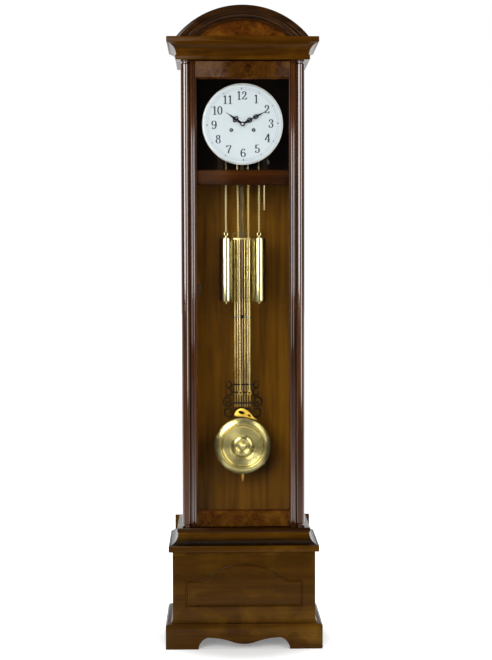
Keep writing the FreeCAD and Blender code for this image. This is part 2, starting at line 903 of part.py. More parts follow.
def case():
    plinth()
    plinth_moulding()
    base_box()
    wide_run = size.narrow_slab_setback - size.wide_slab_setback - size.moulding_lip
    slab("base_slab", half_wide, wide_front, base_top, size.base_slab_thickness)
    cove("waist_cove", waist_cove_bottom, size.waist_cove_rise, wide_run, -size.moulding_lip)
    slab("waist_slab", half_narrow, narrow_front, waist_slab_bottom, size.waist_slab_thickness)
    trunk()
    slab("cornice_slab", half_narrow, narrow_front, trunk_top, size.cornice_slab_thickness)
    cove("cornice_cove", cornice_cove_bottom, size.cornice_cove_rise, -size.moulding_lip, wide_run)
    slab("top_slab", half_wide, wide_front, top_slab_bottom, size.top_slab_thickness)
    arch()


# The door

door_half = half_trunk - 2 * size.column_radius - size.door_side_gap
door_bottom = trunk_bottom + size.door_end_gap
door_top = trunk_top - size.door_end_gap
glass_half = door_half - size.stile_width
dial_radius = glass_half - size.dial_margin
seat_top = axis_z - dial_radius - size.dial_seat_gap
glass_low = door_bottom + size.bottom_rail_width
glass_high = door_top - size.top_rail_width
pivot_x = door_half - size.pivot_edge_distance
pivot_y = door_front + size.pivot_face_distance


def stile_section(side):
    """The section of a door stile: a flat board with two reeds along its face."""
    inner = -size.stile_width
    first = inner + size.reed_land
    middle = first + 2 * size.reed_half_width
    second = middle + 2 * size.reed_half_width
    sill = size.reed_rise
    flat = size.door_thickness
    corners = [
        corner(0, flat),
        corner(0, sill),
        corner(second, sill),
        corner(middle, sill, size.reed_radius, side),
        corner(first, sill, size.reed_radius, side),
        corner(inner, sill),
        corner(inner, flat),
    ]
    return [corner(spot.across * side, spot.up, spot.radius, 1) for spot in corners]


def door():
    length = door_top - door_bottom
    stiles = []
    for name, side in (("left_stile", -1), ("right_stile", 1)):
        stile = pad(name, "XY_Plane", [stile_section(side)], length)
        stiles.append(place(stile, side * door_half, door_front, door_bottom))
    bore = size.pivot_radius + size.pivot_clearance
    depth = size.pivot_rise + size.door_gap
    bores = []
    for name, foot in (("low_bore", door_bottom), ("high_bore", door_top - depth)):
        bores.append(pin(name, bore, depth, (pivot_x, pivot_y, foot)))
    drilled = cut("drilled_stile", stiles[1], fuse("pivot_bores", bores))
    rail_lengths = (2 * glass_half, size.door_thickness)
    top = box("top_rail", rail_lengths + (size.top_rail_width,), (-glass_half, door_front, glass_high))
    low = box("bottom_rail", rail_lengths + (size.bottom_rail_width,), (-glass_half, door_front, door_bottom))
    keep("door_stiles", group("door_stiles_group", [stiles[0], drilled]))
    keep("door_rails", group("door_rails_group", [top, low]))

    glass_front = door_front + size.glass_setback
    pane = glass_half - size.glass_clearance
    pane_rise = glass_high - glass_low - 2 * size.glass_clearance
    keep("door_glass", box("door_glass", (2 * pane, size.glass_thickness, pane_rise),
                           (-pane, glass_front, glass_low + size.glass_clearance)))
    beads = []
    bead_places = (("front_bead", glass_front - size.bead_depth),
                   ("back_bead", glass_front + size.glass_thickness))
    for name, across in bead_places:
        rise = glass_high - glass_low
        whole = box(name + "_outer", (2 * glass_half, size.bead_depth, rise),
                    (-glass_half, across, glass_low))
        opening_half = glass_half - size.bead_width
        opening = box(name + "_inner",
                      (2 * opening_half, size.bead_depth + 2 * size.cutter_overrun,
                       rise - 2 * size.bead_width),
                      (-opening_half, across - size.cutter_overrun, glass_low + size.bead_width))
        beads.append(cut(name, whole, opening))
    keep("glazing_beads", group("glazing_beads_group", beads))


def door_fittings():
    """Pivot plates on the two slabs, each with a pin up into the door, and the magnet that holds it."""
    parts = []
    plate = (size.pivot_plate_length, size.pivot_plate_width, size.pivot_plate_thickness)
    plate_x = pivot_x - size.pivot_plate_length + size.pivot_edge_distance
    plate_y = pivot_y - size.pivot_plate_width / 2
    length = size.pivot_rise + size.door_end_gap - size.door_gap
    for name, low, foot in (("low_pivot", trunk_bottom, trunk_bottom),
                            ("high_pivot", trunk_top - size.pivot_plate_thickness, trunk_top - length)):
        leaf = box(name + "_plate", plate, (plate_x, plate_y, low))
        post = pin(name + "_pin", size.pivot_radius, length, (pivot_x, pivot_y, foot))
        parts.append(fuse(name, [leaf, post]))
    catch_x = -(side_outer - size.post_width)
    catch_z = (trunk_bottom + trunk_top) / 2
    parts.append(box("door_catch", (size.catch_thickness, size.catch_width, size.catch_length),
                     (catch_x, post_front, catch_z)))
    keep("door_fittings", group("door_fittings_group", parts))


def seat():
    """The board that carries the movement, its bearers on the case sides and the cheeks on top."""
    board_half = side_inner
    front = post_back
    reach = size.chain_radius + size.chain_width / 2 + size.chain_slot_end_gap
    slot_half = size.chain_slot_width / 2
    back = front + size.seat_depth
    outline = [corner(-board_half, front), corner(board_half, front),
               corner(board_half, back), corner(-board_half, back)]
    loops = [outline]
    for centre in (-size.winding_offset, size.winding_offset):
        loops.append([
            corner(centre - reach, chain_y - slot_half),
            corner(centre + reach, chain_y - slot_half),
            corner(centre + reach, chain_y + slot_half),
            corner(centre - reach, chain_y + slot_half),
        ])
    board = pad("seat_plank", "XY_Plane", loops, size.seat_thickness)
    place(board, 0, 0, seat_top - size.seat_thickness)
    parts = [board]
    bearer = (size.bearer_width, size.bearer_length, size.bearer_rise)
    bearer_z = seat_top - size.seat_thickness - size.bearer_rise
    parts.append(box("left_bearer", bearer, (-side_inner, front, bearer_z)))
    parts.append(box("right_bearer", bearer, (side_inner - size.bearer_width, front, bearer_z)))
    cheek_rise = dial_radius + size.dial_seat_gap - size.plate_bottom
    cheek = (size.cheek_thickness, plate_back - plate_front, cheek_rise)
    inner = size.cheek_inner_span
    parts.append(box("left_cheek", cheek, (-inner - size.cheek_thickness, plate_front, seat_top)))
    parts.append(box("right_cheek", cheek, (inner, plate_front, seat_top)))
    keep("seat_board", group("seat_board_group", parts))
    rail_half = side_outer - size.post_width
    rail = (2 * rail_half, size.seat_rail_thickness, size.seat_rail_rise)
    keep("seat_rail", box("seat_rail", rail,
                          (-rail_half, post_back - size.seat_rail_thickness, seat_top - size.seat_rail_rise)))


# The dial and the hands

def dial():
    outline = hole(0, 0, dial_radius)
    loops = [outline, hole(0, 0, size.dial_centre_hole)]
    for across in (-size.winding_offset, size.winding_offset):
        loops.append(hole(across, -size.winding_drop, size.keyhole_radius))
    plate = pad("dial_disc", "XZ_Plane", loops, size.dial_thickness)
    place(plate, 0, dial_back, axis_z)
    parts = [plate]
    for across, up in ((-1, -1), (1, -1), (-1, 1), (1, 1)):
        foot = prism(size.dial_foot_radius.value, SMALL_FACET_COUNT, size.dial_foot_length.value)
        parts.append(shape_piece("dial_foot", foot, across * size.dial_foot_span, plate_front,
                                 axis_z + up * size.dial_foot_span, FACE_FORWARD))
    keep("dial_plate", group("dial_plate_group", parts))

    rim_radius = dial_radius + size.rim_overhang
    inner = rim_radius - size.rim_width
    rim = turned("dial_rim", [
        corner(inner, 0),
        corner(rim_radius, 0),
        corner(rim_radius - size.rim_step, size.rim_rise),
        corner(inner + size.rim_step, size.rim_rise),
    ])
    place(rim, 0, dial_front, axis_z, turn=FACE_FORWARD)
    rings = [rim]
    for name, across in (("left_ferrule", -size.winding_offset), ("right_ferrule", size.winding_offset)):
        wall = size.keyhole_radius - size.ferrule_gap
        bore = wall - size.ferrule_wall
        ferrule = turned(name, [
            corner(bore, 0),
            corner(wall, 0),
            corner(wall, size.dial_thickness + size.ferrule_lip),
            corner(bore, size.dial_thickness + size.ferrule_lip),
        ])
        rings.append(place(ferrule, across, dial_back, winding_z, turn=FACE_FORWARD))
    keep("dial_rings", group("dial_rings_group", rings))


def disc(radius, thickness, across=0, up=0, low=0):
    """A plain disc for the wheels that are worked out in code, about the local Z axis."""
    return Part.makeCylinder(radius, thickness, FreeCAD.Vector(across, up, low))


def prism(radius, sides, thickness, across=0, up=0, low=0):
    """A regular prism round a circle of a radius, in place of a small round bar or hole."""
    reach = radius / math.cos(math.pi / sides)
    points = []
    for index in range(sides + 1):
        turn = 2 * math.pi * (index + 1 / 2) / sides
        points.append(FreeCAD.Vector(across + reach * math.cos(turn), up + reach * math.sin(turn), low))
    return Part.Face(Part.makePolygon(points)).extrude(Z_AXIS * thickness)


def bar(start, end, width, thickness):
    """A straight strip of one width between two points of the local XY plane."""
    along = FreeCAD.Vector(end[0] - start[0], end[1] - start[1], 0)
    side = FreeCAD.Vector(-along.y, along.x, 0).normalize() * (width / 2)
    first = FreeCAD.Vector(start[0], start[1], 0)
    last = FreeCAD.Vector(end[0], end[1], 0)
    face = Part.Face(Part.makePolygon([first - side, last - side, last + side, first + side, first - side]))
    return face.extrude(Z_AXIS * thickness)


def tapered_bar(length, foot_width, tip_width, thickness):
    face = Part.Face(Part.makePolygon([
        FreeCAD.Vector(-foot_width / 2, 0, 0),
        FreeCAD.Vector(foot_width / 2, 0, 0),
        FreeCAD.Vector(tip_width / 2, length, 0),
        FreeCAD.Vector(-tip_width / 2, length, 0),
        FreeCAD.Vector(-foot_width / 2, 0, 0),
    ]))
    return face.extrude(Z_AXIS * thickness)


def hand_shape(length, lobes, bore):
    """A pierced hand that points up the local Y axis. Each lobe has a reach and its side offsets."""
    thickness = sheet_value("hand_thickness")
    lobe = sheet_value("hand_lobe_radius")
    eye = sheet_value("hand_eye_radius")
    body = prism(sheet_value("hand_boss_radius"), SMALL_FACET_COUNT, thickness)
    body = body.fuse(tapered_bar(length, sheet_value("hand_stem_width"), sheet_value("hand_tip_width"),
                                 thickness))
    for across, reach in lobes:
        body = body.fuse(prism(lobe, SMALL_FACET_COUNT, thickness, across, reach))
    for across, reach in lobes:
        body = body.cut(prism(eye, ROD_FACET_COUNT, thickness, across, reach))
    return body.cut(disc(bore, thickness)).removeSplitter()


def hands():
    lobe = sheet_value("hand_lobe_radius")
    eye = sheet_value("hand_eye_radius")
    spread = (lobe + eye) / 2 + sheet_value("hand_tip_width") / 2
    reach = sheet_value("hour_lobe_reach")
    clearance = sheet_value("running_clearance")
    quatrefoil = [(-spread, reach), (spread, reach), (0, reach - spread), (0, reach + spread)]
    shape = hand_shape(sheet_value("hour_hand_length"), quatrefoil, sheet_value("sleeve_bore") + clearance)
    turn = FreeCAD.Rotation(Y_AXIS, HOUR_HAND_ANGLE).multiply(FACE_FORWARD)
    hour = shape_piece("hour_hand", shape, 0, dial_front - size.hour_hand_gap, axis_z, turn)
    keep("hour_hand", hour)
    inner, outer = sheet_value("inner_leaf_reach"), sheet_value("outer_leaf_reach")
    leaves = [(-spread, inner), (spread, inner), (-spread, outer), (spread, outer)]
    shape = hand_shape(sheet_value("minute_hand_length"), leaves, sheet_value("arbor_radius") + clearance)
    turn = FreeCAD.Rotation(Y_AXIS, MINUTE_HAND_ANGLE).multiply(FACE_FORWARD)
    minute = shape_piece("minute_hand", shape, 0, dial_front - size.minute_hand_gap, axis_z, turn)
    keep("minute_hand", minute)
    shape = prism(sheet_value("hand_nut_radius"), SMALL_FACET_COUNT, sheet_value("hand_nut_rise"))
    nut_y = dial_front - size.minute_hand_gap - size.hand_thickness
    nut = shape_piece("hand_nut", shape, 0, nut_y, axis_z, FACE_FORWARD)
    keep("hand_nut", nut)


# The movement. Wheels are made about the local Z axis and turned so that Z points at the viewer.

def teeth_of(name):
    return TOOTH_COUNTS[name + "_teeth"]


def toothed_outline(teeth, module, shares, lean=0):
    """The outline of a toothed disc: four points to a tooth, pointed enough to run with backlash."""
    pitch_radius = teeth * module / 2
    tip_radius = pitch_radius + module * shares.addendum
    root_radius = pitch_radius - module * shares.dedendum
    step = 2 * math.pi / teeth
    points = []
    for index in range(teeth):
        middle = index * step
        for radius, angle in (
            (root_radius, middle - step * shares.root / 2),
            (tip_radius, middle - step * (shares.tip / 2 - lean)),
            (tip_radius, middle + step * (shares.tip / 2 + lean)),
            (root_radius, middle + step * shares.root / 2),
        ):
            points.append(FreeCAD.Vector(radius * math.cos(angle), radius * math.sin(angle), 0))
    return points + [points[0]]


WHEEL_SHARES = SimpleNamespace(addendum=ADDENDUM_SHARE, dedendum=DEDENDUM_SHARE,
                               tip=TOOTH_TIP_SHARE, root=TOOTH_ROOT_SHARE)
LEAF_SHARES = SimpleNamespace(addendum=LEAF_ADDENDUM_SHARE, dedendum=LEAF_DEDENDUM_SHARE,
                              tip=LEAF_TIP_SHARE, root=LEAF_ROOT_SHARE)


def toothed(teeth, module, thickness, shares, low=0, phase=0, lean=0):
    outline = Part.makePolygon(toothed_outline(teeth, module, shares, lean))
    solid = Part.Face(outline).extrude(Z_AXIS * thickness)
    solid.rotate(HEAD_POINT, Z_AXIS, phase)
    solid.translate(Z_AXIS * low)
    return solid


def wheel_windows(rim_radius, hub_radius, arm_width, thickness):
    """The openings between the arms of a wheel, straight-sided, as solids to cut away."""
    windows = []
    step = 2 * math.pi / WHEEL_ARM_COUNT
    corners = ((hub_radius, -1), (rim_radius, -1), (rim_radius, 0), (rim_radius, 1), (hub_radius, 1))
    for index in range(WHEEL_ARM_COUNT):
        points = []
        for radius, side in corners:
            spread = step / 2 - math.asin(arm_width / 2 / radius)
            turn = index * step + side * spread
            points.append(FreeCAD.Vector(radius * math.cos(turn), radius * math.sin(turn), 0))
        windows.append(Part.Face(Part.makePolygon(points + [points[0]])).extrude(Z_AXIS * thickness))
    return windows


def crossed_wheel(teeth, module, low, phase=0):
    thickness = sheet_value("wheel_thickness")
    wheel = toothed(teeth, module, thickness, WHEEL_SHARES)
    pitch_radius = teeth * module / 2
    arbor = sheet_value("arbor_radius")
    for window in wheel_windows(pitch_radius - 3 * module, 3 * arbor, 2 * arbor, thickness):
        wheel = wheel.cut(window)
    wheel.rotate(HEAD_POINT, Z_AXIS, phase)
    wheel.translate(Z_AXIS * low)
    return wheel


def depth_of(place_name):
    """How far forward of the back of the back plate a wheel's back face lies, as a local Z."""
    spacing = sheet_value("plate_spacing") + 2 * sheet_value("plate_thickness")
    return spacing - sheet_value(place_name) - sheet_value("wheel_thickness")


def mesh_phase(driver_teeth, teeth, angle):
    """The turn, in degrees, that puts a gap of a wheel opposite a tooth of its driver.
    The angle is that of the line from the driver's centre to the wheel's centre."""
    driver_step = 360.0 / driver_teeth
    step = 360.0 / teeth
    tooth_past_line = math.fmod(angle, driver_step) / driver_step
    return math.fmod(angle + 180.0 + step / 2 + tooth_past_line * step, step)


def circle_meeting(first, first_radius, second, second_radius, side):
    """The point at two given distances from two centres, on one side of the line between them."""
    across, up = second[0] - first[0], second[1] - first[1]
    gap = math.hypot(across, up)
    along = (first_radius ** 2 - second_radius ** 2 + gap ** 2) / (2 * gap)
    off = math.sqrt(first_radius ** 2 - along ** 2)
    unit = (across / gap, up / gap)
    return (first[0] + unit[0] * along - unit[1] * off * side,
            first[1] + unit[1] * along + unit[0] * off * side)


def pitch(name, module_name):
    return teeth_of(name) * sheet_value(module_name) / 2


def arbor_centres():
    """The places of the arbors, seen from the front, from the axis of the hands."""
    offset, drop = sheet_value("winding_offset"), sheet_value("winding_drop")
    time_great, strike_great = (offset, -drop), (-offset, -drop)
    centre = (0.0, 0.0)
    escape = (0.0, sheet_value("escape_centre_rise"))
    great_mesh = pitch("great_wheel", "great_module") + pitch("great_pinion", "great_module")
    centre_mesh = pitch("intermediate_wheel", "centre_module") + pitch("centre_pinion", "centre_module")
    third_mesh = pitch("centre_wheel", "third_module") + pitch("third_pinion", "third_module")
    escape_mesh = pitch("third_wheel", "escape_module") + pitch("escape_pinion", "escape_module")
    motion_mesh = pitch("minute_wheel", "motion_module") + pitch("cannon_pinion", "motion_module")
    motion_angle = math.radians(MOTION_WORK_ANGLE)
    pin_wheel_angle = math.radians(PIN_WHEEL_ANGLE)
    return {
        "centre": centre,
        "time_great": time_great,
        "strike_great": strike_great,
        "intermediate": circle_meeting(time_great, great_mesh, centre, centre_mesh, 1),
        "third": circle_meeting(centre, third_mesh, escape, escape_mesh, 1),
        "escape": escape,
        "anchor": (0.0, sheet_value("pendulum_pivot_rise")),
        "minute": (motion_mesh * math.sin(motion_angle), -motion_mesh * math.cos(motion_angle)),
        "pin_wheel": (strike_great[0] + great_mesh * math.cos(pin_wheel_angle),
                      strike_great[1] + great_mesh * math.sin(pin_wheel_angle)),
        "hammer": (sheet_value("hammer_offset"), -sheet_value("hammer_drop")),
    }


CENTRES = arbor_centres()
FINE_ARBORS = ("third", "escape")


def mount_wheel(label, shape, arbor):
    """Stand a wheel at its arbor, with the local Z axis turned towards the viewer and z = 0
    at the back of the back plate."""
    across, up = CENTRES[arbor]
    return keep(label, shape_piece(label, shape, across, plate_back, axis_z + up, FACE_FORWARD))


def line_angle(start, end):
    a, b = CENTRES[start], CENTRES[end]
    return math.degrees(math.atan2(b[1] - a[1], b[0] - a[0]))


def movement_frame():
    """Two brass plates on four pillars, drilled for every arbor."""
    half = sheet_value("plate_width") / 2
    top, bottom = sheet_value("plate_top"), sheet_value("plate_bottom")
    thickness = sheet_value("plate_thickness")
    spacing = sheet_value("plate_spacing")
    plate = Part.makeBox(2 * half, top + bottom, thickness, FreeCAD.Vector(-half, -bottom, 0))
    for arbor, (across, up) in CENTRES.items():
        if arbor != "minute":
            name = "fine_arbor_radius" if arbor in FINE_ARBORS else "arbor_radius"
            bore = sheet_value(name) + sheet_value("running_clearance")
            plate = plate.cut(prism(bore, ROD_FACET_COUNT, thickness, across, up))
    parts = [shape_piece("back_plate", plate, 0, plate_back, axis_z, FACE_FORWARD),
             shape_piece("front_plate", plate, 0, plate_front + size.plate_thickness, axis_z, FACE_FORWARD)]
    pillar = prism(sheet_value("pillar_radius"), SMALL_FACET_COUNT, spacing)
    reach = half - sheet_value("pillar_inset")
    for up in (sheet_value("pillar_inset") - bottom, top - sheet_value("pillar_inset")):
        for across in (-reach, reach):
            parts.append(shape_piece("pillar", pillar, across, plate_back - size.plate_thickness,
                                     axis_z + up, FACE_FORWARD))
    keep("movement_frame", group("movement_frame_group", parts))


def arbor_bar(low, high, name="arbor_radius"):
    return Part.makeCylinder(sheet_value(name), high - low, Z_AXIS * low)


def dial_reach():
    """How far the front of the dial stands in front of the front plate."""
    return sheet_value("dial_foot_length") + sheet_value("dial_thickness")


def sprocket_shape():
    """A grooved chain wheel with spikes in its groove, on an arbor squared off behind the dial."""
    depth = sheet_value("plate_spacing") + 2 * sheet_value("plate_thickness")
    middle = depth - sheet_value("sprocket_place")
    gap = sheet_value("sprocket_gap")
    flange = sheet_value("sprocket_flange_thickness")
    wheel = prism(sheet_value("sprocket_root_radius"), SPROCKET_FACET_COUNT, gap + 2 * flange,
                  low=middle - gap / 2 - flange)
    for low in (middle - gap / 2 - flange, middle + gap / 2):
        plate = prism(sheet_value("sprocket_flange_radius"), SPROCKET_FACET_COUNT, flange, low=low)
        wheel = wheel.fuse(plate)
    width = sheet_value("spike_width")
    length = sheet_value("sprocket_root_radius") + sheet_value("spike_rise")
    for index in range(SPIKE_COUNT):
        spike = Part.makeBox(length, width, width, FreeCAD.Vector(0, -width / 2, middle - width / 2))
        spike.rotate(HEAD_POINT, Z_AXIS, 360.0 * index / SPIKE_COUNT)
        wheel = wheel.fuse(spike)
    return wheel.fuse(arbor_bar(0, depth + dial_reach())).removeSplitter()


def train():
    depth = sheet_value("plate_spacing") + 2 * sheet_value("plate_thickness")
    wheel = sheet_value("wheel_thickness")
    length = sheet_value("pinion_length")
    clearance = sheet_value("running_clearance")
    arbor = sheet_value("arbor_radius")
    great_low = depth_of("great_wheel_place")
    for side in ("time", "strike"):
        mount_wheel(side + "_sprocket", sprocket_shape(), side + "_great")
        great = crossed_wheel(teeth_of("great_wheel"), sheet_value("great_module"), great_low)
        great = great.cut(disc(arbor + clearance, wheel, low=great_low))
        mount_wheel(side + "_great_wheel", great, side + "_great")

    def pinion(name, module_name, plane, phase):
        low = plane + wheel / 2 - length / 2
        teeth = teeth_of(name)
        return toothed(teeth, sheet_value(module_name), length, LEAF_SHARES, low, phase)

    inter_low = depth_of("intermediate_place")
    angle = line_angle("time_great", "intermediate")
    pinion_phase = mesh_phase(teeth_of("great_wheel"), teeth_of("great_pinion"), angle)
    shape = crossed_wheel(teeth_of("intermediate_wheel"), sheet_value("centre_module"), inter_low)
    shape = shape.fuse(arbor_bar(0, depth))
    shape = shape.fuse(pinion("great_pinion", "great_module", great_low, pinion_phase))
    mount_wheel("intermediate_wheel", shape, "intermediate")

    centre_low = depth_of("centre_wheel_place")
    angle = line_angle("intermediate", "centre")
    pinion_phase = mesh_phase(teeth_of("intermediate_wheel"), teeth_of("centre_pinion"), angle)
    shape = crossed_wheel(teeth_of("centre_wheel"), sheet_value("third_module"), centre_low)
    shape = shape.fuse(pinion("centre_pinion", "centre_module", inter_low, pinion_phase))
    hand_reach = dial_reach() + sheet_value("minute_hand_gap")
    shape = shape.fuse(arbor_bar(0, depth + hand_reach))
    mount_wheel("centre_wheel", shape, "centre")

    third_low = depth_of("third_wheel_place")
    angle = line_angle("centre", "third")
    pinion_phase = mesh_phase(teeth_of("centre_wheel"), teeth_of("third_pinion"), angle)
    shape = crossed_wheel(teeth_of("third_wheel"), sheet_value("escape_module"), third_low)
    shape = shape.fuse(pinion("third_pinion", "third_module", centre_low, pinion_phase))
    shape = shape.fuse(arbor_bar(0, depth, "fine_arbor_radius"))
    mount_wheel("third_wheel", shape, "third")

    escape_low = depth_of("escape_wheel_place")
    angle = line_angle("third", "escape")
    pinion_phase = mesh_phase(teeth_of("third_wheel"), teeth_of("escape_pinion"), angle)
    radius = sheet_value("escape_radius")
    tooth_depth = sheet_value("escape_tooth_depth")
    module = 2 * radius / teeth_of("escape_wheel")
    escape_shares = SimpleNamespace(addendum=0, dedendum=tooth_depth / module,
                                    tip=TOOTH_TIP_SHARE / 2, root=TOOTH_PITCH_SHARE)
    shape = toothed(teeth_of("escape_wheel"), module, wheel, escape_shares, escape_low,
                    lean=ESCAPE_LEAN_SHARE)
    shape = shape.fuse(pinion("escape_pinion", "escape_module", third_low, pinion_phase))
    shape = shape.fuse(arbor_bar(0, depth, "fine_arbor_radius"))
    mount_wheel("escape_wheel", shape, "escape")


def motion_work():
    """The wheels between the front plate and the dial that turn the hour hand once in twelve hours."""
    depth = sheet_value("plate_spacing") + 2 * sheet_value("plate_thickness")
    wheel = sheet_value("wheel_thickness")
    clearance = sheet_value("running_clearance")
    arbor = sheet_value("arbor_radius")
    cannon = sheet_value("cannon_radius")
    cannon_low = depth + wheel / 2
    angle = line_angle("centre", "minute")
    minute_reach = dial_reach() + sheet_value("minute_hand_gap")
    shape = toothed(teeth_of("cannon_pinion"), sheet_value("motion_module"), wheel, LEAF_SHARES, cannon_low)
    shape = shape.fuse(disc(cannon, minute_reach - 3 * wheel / 2, low=cannon_low + wheel))
    shape = shape.cut(disc(arbor + clearance, minute_reach + wheel, low=depth))
    mount_wheel("cannon_pinion", shape, "centre")

    minute_phase = mesh_phase(teeth_of("cannon_pinion"), teeth_of("minute_wheel"), angle)
    mesh_distance = pitch("minute_wheel", "motion_module") + pitch("cannon_pinion", "motion_module")
    hour_module = 2 * mesh_distance / (teeth_of("minute_pinion") + teeth_of("hour_wheel"))
    hour_low = cannon_low + 2 * wheel
    minute = toothed(teeth_of("minute_wheel"), sheet_value("motion_module"), wheel, WHEEL_SHARES,
                     cannon_low, minute_phase)
    minute = minute.fuse(toothed(teeth_of("minute_pinion"), hour_module, 2 * wheel, LEAF_SHARES,
                                 cannon_low + wheel, phase=0))
    minute = minute.fuse(arbor_bar(cannon_low, hour_low + 2 * wheel))
    mount_wheel("minute_wheel", minute, "minute")
    back_angle = line_angle("minute", "centre")
    hour_phase = mesh_phase(teeth_of("minute_pinion"), teeth_of("hour_wheel"), back_angle)
    hour = toothed(teeth_of("hour_wheel"), hour_module, wheel, WHEEL_SHARES, hour_low, hour_phase)
    hour_reach = dial_reach() + sheet_value("hour_hand_gap") + depth
    hour = hour.fuse(disc(sheet_value("sleeve_radius"), hour_reach - hour_low, low=hour_low))
    hour = hour.cut(disc(sheet_value("sleeve_bore"), hour_reach, low=depth))
    mount_wheel("hour_wheel", hour, "centre")


def anchor_shape():
    """Two curved arms that reach down beside the escape wheel, with the crutch behind."""
    rise = sheet_value("pendulum_pivot_rise") - sheet_value("escape_centre_rise")
    clear = sheet_value("escape_radius") + sheet_value("pallet_clearance")
    strap = sheet_value("anchor_strap")
    span = math.radians(ANCHOR_SPAN_ANGLE)
    nose = (clear * math.sin(span), clear * math.cos(span) - rise)
    elbow = ((clear + strap) * math.sin(span), nose[1] + strap / 2)
    outline = [
        (0, strap),
        (elbow[0] * ANCHOR_SHOULDER_SHARE, strap / 2),
        (elbow[0] + strap / 2, elbow[1]),
        (elbow[0], nose[1] - strap / 2),
        nose,
        (nose[0], clear - rise + strap / 3),
        (0, clear - rise),
    ]
    right = [FreeCAD.Vector(across, up, 0) for across, up in outline]
    left = [FreeCAD.Vector(-across, up, 0) for across, up in outline[-2:0:-1]]
    face = Part.Face(Part.makePolygon(right + left + [right[0]]))
    return face.extrude(Z_AXIS * sheet_value("anchor_thickness"))


def escapement():
    depth = sheet_value("plate_spacing") + 2 * sheet_value("plate_thickness")
    low = depth_of("escape_wheel_place") + sheet_value("wheel_thickness") / 2
    pallets = anchor_shape()
    pallets.translate(Z_AXIS * (low - sheet_value("anchor_thickness") / 2))
    back_place = -sheet_value("crutch_gap")
    thickness = sheet_value("crutch_thickness")
    length = sheet_value("crutch_length")
    crutch = bar((0, 0), (0, -length), sheet_value("crutch_width"), thickness)
    crutch = crutch.fuse(prism(sheet_value("crutch_width"), SMALL_FACET_COUNT, thickness))
    prong = sheet_value("fork_prong")
    inner = sheet_value("leader_width") / 2 + sheet_value("fork_clearance")
    leader_reach = sheet_value("pendulum_reach") + sheet_value("leader_thickness")
    fork_reach = leader_reach - depth - sheet_value("crutch_gap")
    yoke = Part.makeBox(2 * (inner + prong), sheet_value("crutch_width"), thickness,
                        FreeCAD.Vector(-inner - prong, -length, 0))
    crutch = crutch.fuse(yoke)
    for across in (-inner - prong, inner):
        crutch = crutch.fuse(Part.makeBox(prong, sheet_value("crutch_width"), fork_reach + thickness,
                                          FreeCAD.Vector(across, -length, -fork_reach)))
    crutch.translate(Z_AXIS * (back_place - thickness))
    shape = pallets.fuse(arbor_bar(back_place - thickness, depth)).fuse(crutch)
    mount_wheel("anchor", shape.removeSplitter(), "anchor")


def suspension():
    """The bracket on the back plate and the flat spring that it holds above the pendulum."""
    back = plate_back
    reach = pendulum_y + size.leader_thickness / 2 + size.cutter_overrun - back
    low = axis_z + size.pendulum_pivot_rise + size.cock_lift
    bracket = box("cock_arm", (size.cock_width, reach, size.cock_rise), (-size.cock_width / 2, back, low))
    spring_y = pendulum_y - size.spring_thickness / 2
    spring_z = axis_z + size.pendulum_pivot_rise
    spring = box("suspension_blade", (size.spring_width, size.spring_thickness, size.cock_lift),
                 (-size.spring_width / 2, spring_y, spring_z))
    keep("suspension", group("suspension_group", [bracket, spring]))


def strike_work():
    """The wheel whose pins lift the hammer."""
    depth = sheet_value("plate_spacing") + 2 * sheet_value("plate_thickness")
    wheel = sheet_value("wheel_thickness")
    length = sheet_value("pinion_length")
    low = depth_of("pin_wheel_place")
    angle = line_angle("strike_great", "pin_wheel")
    phase = mesh_phase(teeth_of("great_wheel"), teeth_of("great_pinion"), angle)
    shape = disc(sheet_value("pin_wheel_radius"), wheel, low=low)
    for index in range(PIN_COUNT):
        turn = 2 * math.pi * index / PIN_COUNT
        across = sheet_value("pin_circle_radius") * math.cos(turn)
        up = sheet_value("pin_circle_radius") * math.sin(turn)
        shape = shape.fuse(prism(sheet_value("pin_radius"), ROD_FACET_COUNT, sheet_value("pin_length"),
                                 across, up, low - sheet_value("pin_length")))
    pinion_low = depth_of("great_wheel_place") + wheel / 2 - length / 2
    shape = shape.fuse(toothed(teeth_of("great_pinion"), sheet_value("great_module"), length, LEAF_SHARES,
                               pinion_low, phase))
    shape = shape.fuse(arbor_bar(0, depth))
    mount_wheel("strike_pin_wheel", shape, "pin_wheel")


def hammer():
    """A hanging arm with a cylindrical head beside the gong rod, and a tail that the pins lift."""
    depth = sheet_value("plate_spacing") + 2 * sheet_value("plate_thickness")
    arm_low = -sheet_value("hammer_arm_gap")
    thickness = sheet_value("hammer_arm_thickness")
    width = sheet_value("hammer_arm_width")
    head_radius = sheet_value("hammer_head_radius")
    head_length = sheet_value("hammer_head_length")
    gap = sheet_value("hammer_gap")
    length = sheet_value("hammer_arm")
    face = sheet_value("gong_offset") + sheet_value("gong_rod_radius") + gap - CENTRES["hammer"][0]
    head_x = face + head_length / 2
    head_low = -sheet_value("gong_gap")
    arm = bar((0, 0), (head_x, -length), width, thickness)
    arm.translate(Z_AXIS * arm_low)
    shank = prism(width / 2, ROD_FACET_COUNT, arm_low + thickness - head_low, head_x, -length, head_low)
    head = Part.makeCylinder(head_radius, head_length, FreeCAD.Vector(face, -length, head_low), X_AXIS)
    tail_low = depth_of("hammer_tail_place")
    wheel_x, wheel_z = CENTRES["pin_wheel"]
    reach = sheet_value("pin_circle_radius") + sheet_value("pin_radius") + sheet_value("hammer_tail_gap")
    tip = (wheel_x + reach - CENTRES["hammer"][0], wheel_z - CENTRES["hammer"][1])
    tail = bar((0, 0), tip, width, sheet_value("wheel_thickness"))
    tail.translate(Z_AXIS * tail_low)
    shape = arbor_bar(arm_low, depth).fuse(arm).fuse(shank).fuse(head).fuse(tail)
    shape = shape.fuse(prism(width, SMALL_FACET_COUNT, thickness, low=arm_low))
    mount_wheel("hammer", shape.removeSplitter(), "hammer")


